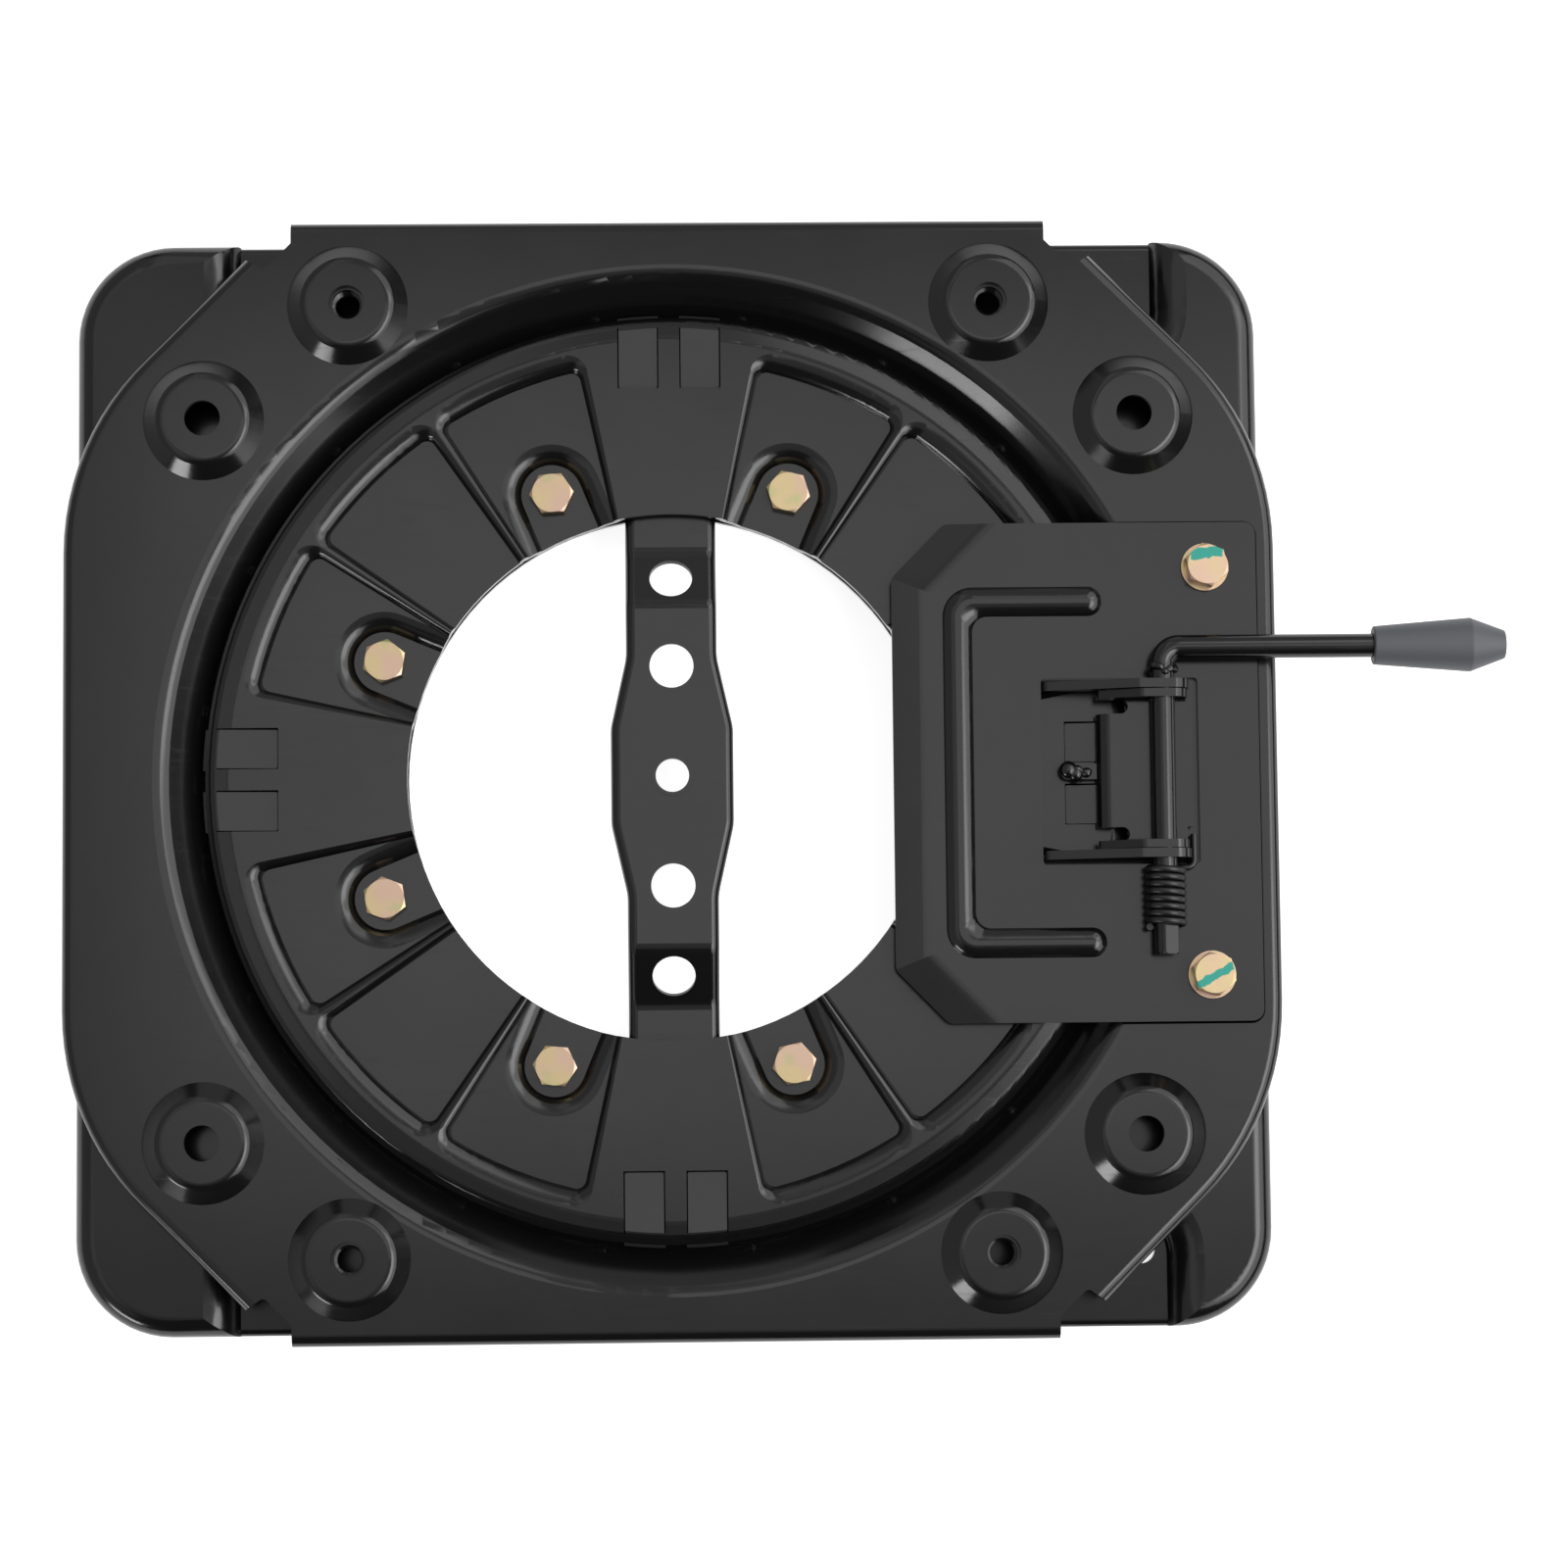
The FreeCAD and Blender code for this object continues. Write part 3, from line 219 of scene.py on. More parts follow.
class EffectGroups:
    """Surface effects shared by several finishes, each built once as a node group."""

    @cached_property
    def orange_peel(self) -> bpy.types.NodeTree:
        """Fine ripple of a baked coat, with a slow drift of its gloss.

        Returns:
            The group, which puts out the Height of the ripple and Gloss to add to the roughness.
        """
        graph = new_group("orange_peel", {"Scale": 900.0, "Gloss Drift": 0.05}, ("Height", "Gloss"))
        entry = graph.add("NodeGroupInput")
        place = graph.add("ShaderNodeTexCoord").outputs["Object"]
        fine = graph.add("ShaderNodeTexNoise", vector=place, scale=entry.outputs["Scale"], detail=2.0)
        slow = graph.add("ShaderNodeTexNoise", vector=place, scale=22.0, detail=3.0, roughness=0.6)
        # The noise runs from 0 to 1, so twice its distance from 0.5 swings from -1 to 1.
        swing = graph.math("SUBTRACT", slow.outputs[0], 0.5)
        drift = graph.math("MULTIPLY", swing, entry.outputs["Gloss Drift"])
        leave = graph.add("NodeGroupOutput")
        graph.feed(leave.inputs["Height"], fine.outputs[0])
        graph.feed(leave.inputs["Gloss"], graph.math("MULTIPLY", drift, 2.0))
        return graph.tree

    @cached_property
    def settled_dust(self) -> bpy.types.NodeTree:
        """Faint dust on faces that look up, in soft patches with a few specks.

        Returns:
            The group, which puts out the Mask of the dust.
        """
        graph = new_group("settled_dust", {"Amount": 0.1}, ("Mask",))
        entry = graph.add("NodeGroupInput")
        place = graph.add("ShaderNodeTexCoord").outputs["Object"]
        normal = graph.add("ShaderNodeNewGeometry").outputs["Normal"]
        upward = graph.add("ShaderNodeSeparateXYZ", vector=normal).outputs["Z"]
        facing = graph.spread(upward, 0.0, 1.0, 0.6, 1.0)
        cloud = graph.add("ShaderNodeTexNoise", vector=place, scale=14.0, detail=4.0, roughness=0.65)
        patch = graph.spread(cloud.outputs[0], 0.25, 1.0, 0.35, 0.75)
        speck = graph.add("ShaderNodeTexNoise", vector=place, scale=1400.0, detail=1.0)
        specks = graph.spread(speck.outputs[0], 0.0, 1.0, 0.68, 0.76)
        mask = graph.math("MULTIPLY", graph.math("MULTIPLY_ADD", specks, 1.5, patch), facing)
        leave = graph.add("NodeGroupOutput")
        graph.feed(leave.inputs["Mask"], graph.math("MULTIPLY", mask, entry.outputs["Amount"]))
        return graph.tree

    @cached_property
    def rub_marks(self) -> bpy.types.NodeTree:
        """Hair-fine scratches in two crossing directions.

        Returns:
            The group, which puts out the Mask of the scratches.
        """
        graph = new_group("rub_marks", {"Scale": 60.0, "Amount": 0.5}, ("Mask",))
        entry = graph.add("NodeGroupInput")
        place = graph.add("ShaderNodeTexCoord").outputs["Object"]
        marks = []
        for turn, stretch in ((0.4, 14.0), (1.9, 20.0)):
            turned = graph.add(
                "ShaderNodeMapping", vector=place, rotation=(0.0, 0.0, turn), scale=(1.0, stretch, 1.0),
            )
            lines = graph.add(
                "ShaderNodeTexNoise", vector=turned.outputs[0], scale=entry.outputs["Scale"], detail=3.0,
            )
            marks.append(graph.spread(lines.outputs[0], 0.0, 1.0, 0.64, 0.7))
        leave = graph.add("NodeGroupOutput")
        both = graph.math("MAXIMUM", marks[0], marks[1])
        graph.feed(leave.inputs["Mask"], graph.math("MULTIPLY", both, entry.outputs["Amount"]))
        return graph.tree

    @cached_property
    def press_wave(self) -> bpy.types.NodeTree:
        """Slow waves that pressing leaves in flat sheet, as a height in metres.

        Returns:
            The group, which puts out the Height of the waves.
        """
        graph = new_group("press_wave", {"Scale": 11.0, "Height": 0.0002}, ("Height",))
        entry = graph.add("NodeGroupInput")
        place = graph.add("ShaderNodeTexCoord").outputs["Object"]
        wave = graph.add(
            "ShaderNodeTexNoise", vector=place, scale=entry.outputs["Scale"], detail=1.0, roughness=0.35,
        )
        leave = graph.add("NodeGroupOutput")
        graph.feed(leave.inputs["Height"], graph.math("MULTIPLY", wave.outputs[0], entry.outputs["Height"]))
        return graph.tree

    @cached_property
    def painted_slot_shade(self) -> bpy.types.NodeTree:
        """Painted shade along three edges of each slot, alike on all four sides, where the sheared slit is in
        shade, and painted shade on the lugs past the rim.

        Returns:
            The group, which puts out the Mask of the painted shade.
        """
        sizes = {"Start": 0.1322, "End": 0.1529, "Near": 0.0036, "Far": 0.0174, "Width": 0.0004, "Rim": 0.1571}
        edge_slack = -0.00002
        lug_shade = 0.6
        graph = new_group("painted_slot_shade", sizes, ("Mask",))
        entry = graph.add("NodeGroupInput")
        place = graph.add("ShaderNodeTexCoord").outputs["Object"]
        parts = graph.add("ShaderNodeSeparateXYZ", vector=place)
        sides = [graph.math("ABSOLUTE", parts.outputs[axis]) for axis in ("X", "Y")]
        along = graph.math("MAXIMUM", *sides)
        across = graph.math("MINIMUM", *sides)
        inward = [
            graph.math("SUBTRACT", along, entry.outputs["Start"]),
            graph.math("SUBTRACT", across, entry.outputs["Near"]),
            graph.math("SUBTRACT", entry.outputs["Far"], across),
        ]
        nearest = graph.math("MINIMUM", graph.math("MINIMUM", inward[0], inward[1]), inward[2])
        inside = graph.math("GREATER_THAN", nearest, edge_slack)
        narrow = graph.math("LESS_THAN", nearest, entry.outputs["Width"])
        before_end = graph.math("LESS_THAN", along, entry.outputs["End"])
        # Painted shade: the lugs past the rim are dimmed, since the rim shades them.
        radius = graph.group(self.line_distance).outputs["Radius"]
        lugs = graph.math("MULTIPLY", graph.math("GREATER_THAN", radius, entry.outputs["Rim"]), lug_shade)
        leave = graph.add("NodeGroupOutput")
        # Painted shade: a thin black band just inside three edges of each slot stands for the shade of the
        # sheared slit.
        painted_shade_mask = graph.math("MULTIPLY", graph.math("MULTIPLY", inside, narrow), before_end)
        graph.feed(leave.inputs["Mask"], graph.math("MAXIMUM", painted_shade_mask, lugs))
        return graph.tree

    @cached_property
    def painted_lap_shade(self) -> bpy.types.NodeTree:
        """Painted shade: a dark line on a sheet just outside the rounded edge of another sheet that lies on
        it, where the cleft under that edge is in shade.

        Returns:
            The group, which puts out the Mask of the painted shade line.
        """
        sizes = {"Right": 0.1974, "Half": 0.0842, "Corner": 0.004, "Left": 0.15, "Width": 0.0007}
        edge_slack = -0.0001
        graph = new_group("painted_lap_shade", sizes, ("Mask",))
        entry = graph.add("NodeGroupInput")
        place = graph.add("ShaderNodeTexCoord").outputs["Object"]
        parts = graph.add("ShaderNodeSeparateXYZ", vector=place)
        corner = entry.outputs["Corner"]
        past = []
        for axis, limit in (("X", "Right"), ("Y", "Half")):
            distance = graph.math("ABSOLUTE", parts.outputs[axis])
            straight = graph.math("SUBTRACT", entry.outputs[limit], corner)
            past.append(graph.math("MAXIMUM", graph.math("SUBTRACT", distance, straight), 0.0))
        squares = [graph.math("MULTIPLY", value, value) for value in past]
        away = graph.math("SUBTRACT", graph.math("SQRT", graph.math("ADD", *squares)), corner)
        outside = graph.math("GREATER_THAN", away, edge_slack)
        close = graph.math("LESS_THAN", away, entry.outputs["Width"])
        east = graph.math("GREATER_THAN", parts.outputs["X"], entry.outputs["Left"])
        leave = graph.add("NodeGroupOutput")
        # Painted shade: this line stands for the shade in the cleft under the latch plate's edge.
        line = graph.math("MULTIPLY", outside, close)
        graph.feed(leave.inputs["Mask"], graph.math("MULTIPLY", line, east))
        return graph.tree

    @cached_property
    def line_distance(self) -> bpy.types.NodeTree:
        """Distance from an upright line, for rings and stripes.

        Returns:
            The group, which puts out the Radius from the line at X and Y.
        """
        graph = new_group("line_distance", {"X": 0.0, "Y": 0.0}, ("Radius",))
        entry = graph.add("NodeGroupInput")
        place = graph.add("ShaderNodeTexCoord").outputs["Object"]
        parts = graph.add("ShaderNodeSeparateXYZ", vector=place)
        across = graph.math("SUBTRACT", parts.outputs["X"], entry.outputs["X"])
        along = graph.math("SUBTRACT", parts.outputs["Y"], entry.outputs["Y"])
        total = graph.math("ADD", graph.math("POWER", across, 2.0), graph.math("POWER", along, 2.0))
        leave = graph.add("NodeGroupOutput")
        graph.feed(leave.inputs["Radius"], graph.math("SQRT", total))
        return graph.tree


@dataclass(frozen=True)
class PowderCoat:
    """Black powder coat over pressed sheet, with a fine ripple, the slow waves of pressing and, where given, a
    mask of painted shade.
    """

    groups: EffectGroups
    name: str = "black_powder_coat"
    colour: tuple[float, float, float] = (0.003, 0.003, 0.0032)
    dust_colour: tuple[float, float, float] = (0.11, 0.108, 0.104)
    roughness: float = 0.17
    dust: float = 0.012
    peel_height: float = 0.0022 * MM
    wave_height: float = 0.2 * MM
    dust_dulling: float = 0.5
    # Mask of painted shade, if any, and the colour it paints.
    painted_shade: bpy.types.NodeTree | None = None
    painted_shade_colour: tuple[float, float, float] = (0.0, 0.0, 0.0)

    def build(self) -> bpy.types.Material:
        """Makes the material, with its painted shade mask in black and without a sheen there.

        Returns:
            The finished material.
        """
        material, graph, shader = new_material(self.name)
        peel = graph.group(self.groups.orange_peel, Scale=1100.0, Gloss_Drift=0.05)
        dust = graph.group(self.groups.settled_dust, Amount=self.dust)
        rub = graph.group(self.groups.rub_marks, Scale=45.0, Amount=0.04)
        wave = graph.group(self.groups.press_wave, Height=self.wave_height)
        colour = graph.blend(dust.outputs["Mask"], self.colour, self.dust_colour)
        # Painted shade: the mask turns the colour black and, with Metallic over a black colour, takes the
        # coat's reflection away too.
        if self.painted_shade is not None:
            painted_shade_mask = graph.group(self.painted_shade).outputs["Mask"]
            colour = graph.blend(painted_shade_mask, colour, self.painted_shade_colour)
            graph.feed(shader.inputs["Metallic"], painted_shade_mask)
        graph.feed(shader.inputs["Base Color"], colour)
        gloss = graph.math("ADD", peel.outputs["Gloss"], self.roughness)
        gloss = graph.math("MULTIPLY_ADD", dust.outputs["Mask"], self.dust_dulling, gloss)
        graph.feed(shader.inputs["Roughness"], graph.math("ADD", gloss, rub.outputs["Mask"]))
        height = graph.math("MULTIPLY_ADD", peel.outputs["Height"], self.peel_height, wave.outputs["Height"])
        bump = graph.add("ShaderNodeBump", strength=1.0, distance=1.0, height=height)
        graph.feed(shader.inputs["Normal"], bump.outputs["Normal"])
        return material


@dataclass(frozen=True)
class PaintStripe:
    """Stripe of marking paint across a bolt head, from its middle out to its reach."""

    x: float
    y: float
    angle_deg: float
    half_width: float
    reach: float


@dataclass(frozen=True)
class YellowZinc:
    """Yellow-passivated zinc: gold that drifts to pink and green, with a fine grain and rub marks."""

    groups: EffectGroups
    name: str = "yellow_zinc"
    gold: tuple[float, float, float] = (0.56, 0.44, 0.25)
    pink: tuple[float, float, float] = (0.57, 0.40, 0.30)
    green: tuple[float, float, float] = (0.43, 0.43, 0.21)
    roughness: float = 0.33
    grain_gloss: float = 0.2
    paint: tuple[float, float, float] = (0.01, 0.27, 0.21)
    paint_edge: float = 0.1 * MM
    paint_wobble: float = 2.4 * MM
    stripes: tuple[PaintStripe, ...] = ()

    def paint_cover(self, graph: NodeGraph, place: bpy.types.NodeSocket) -> bpy.types.NodeSocket | None:
        """Finds how far the paint stripes cover the surface.

        Args:
            graph: the material's graph.
            place: the socket of the position on the object.

        Returns:
            The cover's socket, from 0 to 1, or None where there are no stripes.
        """
        parts = graph.add("ShaderNodeSeparateXYZ", vector=place)
        wobble = graph.add("ShaderNodeTexNoise", vector=place, scale=420.0, detail=2.0)
        shake = graph.math("MULTIPLY", graph.math("SUBTRACT", wobble.outputs[0], 0.5), self.paint_wobble)
        cover = None
        edge = self.paint_edge
        for stripe in self.stripes:
            turn = math.radians(stripe.angle_deg)
            half, reach = stripe.half_width, stripe.reach
            from_x = graph.math("SUBTRACT", parts.outputs["X"], stripe.x)
            across_x = graph.math("MULTIPLY", from_x, -math.sin(turn))
            from_y = graph.math("SUBTRACT", parts.outputs["Y"], stripe.y)
            across_y = graph.math("MULTIPLY", from_y, math.cos(turn))
            off = graph.math("ABSOLUTE", graph.math("ADD", graph.math("ADD", across_x, across_y), shake))
            band = graph.spread(off, 1.0, 0.0, half - edge, half + edge)
            far = graph.group(self.groups.line_distance, X=stripe.x, Y=stripe.y).outputs["Radius"]
            near = graph.spread(graph.math("ADD", far, shake), 1.0, 0.0, reach - edge, reach + edge)
            mark = graph.math("MULTIPLY", band, near)
            cover = mark if cover is None else graph.math("MAXIMUM", cover, mark)
        return cover

    def build(self) -> bpy.types.Material:
        """Makes the material with its paint stripes.

        Returns:
            The finished material.
        """
        material, graph, shader = new_material(self.name)
        place = graph.add("ShaderNodeTexCoord").outputs["Object"]
        drift = graph.add("ShaderNodeTexNoise", vector=place, scale=130.0, detail=2.0)
        tint = graph.add("ShaderNodeTexNoise", vector=place, scale=75.0, detail=1.0, roughness=0.4)
        grain = graph.add("ShaderNodeTexNoise", vector=place, scale=2600.0, detail=2.0)
        warm = graph.blend(graph.spread(tint.outputs[0], 0.0, 1.0, 0.42, 0.6), self.gold, self.pink)
        colour = graph.blend(graph.spread(drift.outputs[0], 0.0, 0.8, 0.56, 0.72), warm, self.green)
        rub = graph.group(self.groups.rub_marks, Scale=320.0, Amount=0.12)
        grit = graph.math("SUBTRACT", grain.outputs[0], 0.5)
        gloss = graph.math("MULTIPLY_ADD", grit, self.grain_gloss, self.roughness)
        gloss = graph.math("ADD", gloss, rub.outputs["Mask"])
        bump = graph.add("ShaderNodeBump", strength=0.12, distance=0.00003, height=grain.outputs[0])
        metal = 1.0
        cover = self.paint_cover(graph, place)
        if cover is not None:
            colour = graph.blend(cover, colour, self.paint)
            metal = graph.math("SUBTRACT", 1.0, cover)
        graph.feed(shader.inputs["Base Color"], colour)
        graph.feed(shader.inputs["Metallic"], metal)
        graph.feed(shader.inputs["Roughness"], gloss)
        graph.feed(shader.inputs["Normal"], bump.outputs["Normal"])
        return material


@dataclass(frozen=True)
class GripPlastic:
    """Slate-grey moulded grip with a fine spark-eroded grain."""

    groups: EffectGroups
    name: str = "grey_plastic"
    colour: tuple[float, float, float] = (0.062, 0.067, 0.075)
    dust_lift: float = 1.6
    roughness: float = 0.5

    def build(self) -> bpy.types.Material:
        """Makes the material.

        Returns:
            The finished material.
        """
        material, graph, shader = new_material(self.name)
        peel = graph.group(self.groups.orange_peel, Scale=2400.0, Gloss_Drift=0.06)
        dust = graph.group(self.groups.settled_dust, Amount=0.06)
        pale = tuple(c * self.dust_lift for c in self.colour)
        graph.feed(shader.inputs["Base Color"], graph.blend(dust.outputs["Mask"], self.colour, pale))
        graph.feed(shader.inputs["Roughness"], graph.math("ADD", peel.outputs["Gloss"], self.roughness))
        bump = graph.add("ShaderNodeBump", strength=0.25, distance=0.00004, height=peel.outputs["Height"])
        graph.feed(shader.inputs["Normal"], bump.outputs["Normal"])
        return material


@dataclass(frozen=True)
class PlainFinish:
    """Plain metal or plastic with a light grain, for balls, spring wire and ball cages."""

    groups: EffectGroups
    name: str
    colour: tuple[float, float, float]
    roughness: float
    metallic: float
    ripple: float
    rub_gain: float = 1.35
    rub_lift: float = 0.01

    def build(self) -> bpy.types.Material:
        """Makes the material.

        Returns:
            The finished material.
        """
        material, graph, shader = new_material(self.name)
        peel = graph.group(self.groups.orange_peel, Scale=1500.0, Gloss_Drift=0.12)
        rub = graph.group(self.groups.rub_marks, Scale=160.0, Amount=0.25)
        light = tuple(min(1.0, c * self.rub_gain + self.rub_lift) for c in self.colour)
        graph.feed(shader.inputs["Base Color"], graph.blend(rub.outputs["Mask"], self.colour, light))
        graph.feed(shader.inputs["Roughness"], graph.math("ADD", peel.outputs["Gloss"], self.roughness))
        height = peel.outputs["Height"]
        bump = graph.add("ShaderNodeBump", strength=self.ripple, distance=0.00004, height=height)
        graph.feed(shader.inputs["Normal"], bump.outputs["Normal"])
        shader.inputs["Metallic"].default_value = self.metallic
        return material


@dataclass
class Workbench:
    """Steps that every new piece goes through, and the finishes it can take."""

    finishes: dict[Slot, bpy.types.Material]

    def clear(self) -> None:
        """Leaves edit mode and deselects everything."""
        if bpy.context.object and bpy.context.object.mode != "OBJECT":
            bpy.ops.object.mode_set(mode="OBJECT")
        bpy.ops.object.select_all(action="DESELECT")

    def pick(self, pieces: list[bpy.types.Object]) -> None:
        """Selects pieces, the first of them as the active one.

        Args:
            pieces: the pieces.
        """
        self.clear()
        for piece in pieces:
            piece.select_set(True)
        bpy.context.view_layer.objects.active = pieces[0]

    def settle(self, piece: bpy.types.Object) -> None:
        """Moves the piece's place, turn and size into its mesh."""
        self.pick([piece])
        bpy.ops.object.transform_apply(location=True, rotation=True, scale=True)

    def apply_modifiers(self, piece: bpy.types.Object) -> None:
        """Applies every modifier in order.

        Args:
            piece: the piece that has them.
        """
        self.pick([piece])
        for modifier in list(piece.modifiers):
            bpy.ops.object.modifier_apply(modifier=modifier.name)

    def join(self, pieces: list[bpy.types.Object]) -> bpy.types.Object:
        """Joins pieces into one.

        Args:
            pieces: the pieces, the first of which stays.

        Returns:
            The joined piece.
        """
        self.pick(pieces)
        bpy.ops.object.join()
        return bpy.context.active_object

    def copy(
        self, piece: bpy.types.Object, spot: tuple[float, float, float], turn: float = 0.0,
    ) -> bpy.types.Object:
        """Copies a piece with its own mesh.

        Args:
            piece: the piece at the origin.
            spot: where the copy goes.
            turn: its turn about Z in radians.

        Returns:
            The copy, with its place in its mesh.
        """
        twin = piece.copy()
        twin.data = piece.data.copy()
        bpy.context.collection.objects.link(twin)
        twin.location = spot
        twin.rotation_euler = (0.0, 0.0, turn)
        self.settle(twin)
        return twin

    def hand_over(
        self, piece: bpy.types.Object, name: str, body: str, slot: Slot, smooth: float = 40.0,
    ) -> None:
        """Names, shades and dresses a finished piece and fixes it to its body.

        Args:
            piece: the finished piece.
            name: its name.
            body: the body that it rides on.
            slot: the material slot that it takes its finish from.
            smooth: the angle in degrees below which edges are shaded smooth.
        """
        self.settle(piece)
        piece.name = name
        piece.data.name = name
        bpy.ops.object.shade_smooth_by_angle(angle=math.radians(smooth))
        piece.data.materials.clear()
        piece.data.materials.append(self.finishes[slot])
        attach(piece, body)
        log.info("%s: %d faces on %s", name, len(piece.data.polygons), body)


@dataclass
class Thread:
    """Helical ridge of a screw thread around the Z axis."""

    bench: Workbench
    radius: float
    ridge: float
    pitch: float
    low: float
    high: float
    inward: bool = False
    steps: int = 28

    def build(self) -> bpy.types.Object:
        """Makes the ridge with a screw modifier from a three-cornered section.

        Returns:
            The ridge at the origin.
        """
        self.bench.clear()
        side = -1.0 if self.inward else 1.0
        bpy.ops.mesh.primitive_circle_add(
            vertices=3, radius=self.ridge, fill_type="NOTHING", location=(self.radius, 0.0, self.low),
            rotation=(math.pi / 2, side * math.pi / 2, 0.0),
        )
        ridge = bpy.context.active_object
        self.bench.settle(ridge)
        turns = max(1, int((self.high - self.low) / self.pitch))
        screw = ridge.modifiers.new("thread", "SCREW")
        screw.axis = "Z"
        screw.screw_offset = self.pitch
        screw.iterations = turns
        screw.steps = self.steps
        screw.render_steps = self.steps
        screw.use_merge_vertices = False
        self.bench.apply_modifiers(ridge)
        bpy.ops.object.mode_set(mode="EDIT")
        bpy.ops.mesh.select_all(action="DESELECT")
        bpy.ops.mesh.select_mode(type="EDGE")
        bpy.ops.mesh.select_non_manifold()
        bpy.ops.mesh.edge_face_add()
        bpy.ops.mesh.select_all(action="SELECT")
        bpy.ops.mesh.normals_make_consistent(inside=False)
        bpy.ops.object.mode_set(mode="OBJECT")
        return ridge


@dataclass
class WeldBead:
    """Lumpy bead of weld made of drops that have run together."""

    bench: Workbench
    drops: list[tuple[Vector, float]]
    squash: tuple[float, float, float] = (1.0, 0.9, 0.85)
    grain: float = 0.28 * MM
    softening: float = 0.6
    soft_rounds: int = 6
    lump_size: float = 1.6 * MM
    roughness: float = 0.35 * MM

    def build(self) -> bpy.types.Object:
        """Joins the drops, melts them into one skin and roughens it.

        Returns:
            The bead in its place.
        """
        balls = []
        for spot, radius in self.drops:
            self.bench.clear()
            bpy.ops.mesh.primitive_ico_sphere_add(subdivisions=3, radius=radius, location=spot)
            ball = bpy.context.active_object
            bpy.ops.object.mode_set(mode="EDIT")
            bpy.ops.transform.resize(value=self.squash, center_override=tuple(spot))
            bpy.ops.object.mode_set(mode="OBJECT")
            self.bench.settle(ball)
            balls.append(ball)
        bead = self.bench.join(balls)
        melt = bead.modifiers.new("melt", "REMESH")
        melt.mode = "VOXEL"
        melt.voxel_size = self.grain
        soft = bead.modifiers.new("soften", "SMOOTH")
        soft.factor = self.softening
        soft.iterations = self.soft_rounds
        lumps = bpy.data.textures.new("weld_lumps", "CLOUDS")
        lumps.noise_scale = self.lump_size
        lumps.noise_depth = 2
        swell = bead.modifiers.new("lumps", "DISPLACE")
        swell.texture = lumps
        swell.texture_coords = "GLOBAL"
        swell.strength = self.roughness
        swell.mid_level = 0.5
        self.bench.apply_modifiers(bead)
        return bead


@dataclass
class LowerStage:
    """Fixed plate, strap and bolted disc, with the threads of the bolt ends."""

    bench: Workbench
    bolt_circle: float = 104.8 * MM
    bolts: int = 8
    thread_radius: float = 3.98 * MM
    thread_ridge: float = 0.42 * MM
    pitch: float = 1.25 * MM
    end_chamfer: float = 0.4 * MM
    start_turn: float = 3.0  # Where a thread starts, for each radian round the bolt circle.

    def build(self) -> None:
        """Adds a thread to each bolt end below the nuts."""
        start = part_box("disc_bolts")[0].z + self.end_chamfer
        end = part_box("disc_nuts")[0].z + self.pitch
        ridge = Thread(self.bench, self.thread_radius, self.thread_ridge, self.pitch, start, end).build()
        ends = []
        for i in range(self.bolts):
            angle = math.radians(360.0 / self.bolts * (i + 0.5))
            spot = (self.bolt_circle * math.cos(angle), self.bolt_circle * math.sin(angle), 0.0)
            ends.append(self.bench.copy(ridge, spot, angle * self.start_turn))
        bpy.data.objects.remove(ridge)
        threads = self.bench.join(ends)
        self.bench.hand_over(threads, "disc_bolt_threads", "base", Slot.YELLOW_ZINC)


@dataclass
class Turntable:
    """Turning plate, with threads in the four weld nuts under its bosses."""

    bench: Workbench
    nut_x: float = 108.5 * MM
    nut_y: float = 160.5 * MM
    thread_radius: float = 4.95 * MM
    thread_ridge: float = 0.75 * MM
    pitch: float = 1.5 * MM
    mouth: float = 0.8 * MM
    start_turn: float = 1.3  # Where a thread starts, in radians from one nut to the next.

    def build(self) -> None:
        """Adds the threads of the weld nuts."""
        low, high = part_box("seat_weld_nuts")
        start, end = low.z + self.mouth, high.z - self.mouth
        ridge = Thread(
            self.bench, self.thread_radius, self.thread_ridge, self.pitch, start, end, inward=True,
        ).build()
        bores = []
        for i, (x, y) in enumerate(((1, 1), (-1, 1), (-1, -1), (1, -1))):
            spot = (x * self.nut_x, y * self.nut_y, 0.0)
            bores.append(self.bench.copy(ridge, spot, self.start_turn * i))
        bpy.data.objects.remove(ridge)
        threads = self.bench.join(bores)
        self.bench.hand_over(threads, "seat_nut_threads", "turntable", Slot.POWDER_COAT)


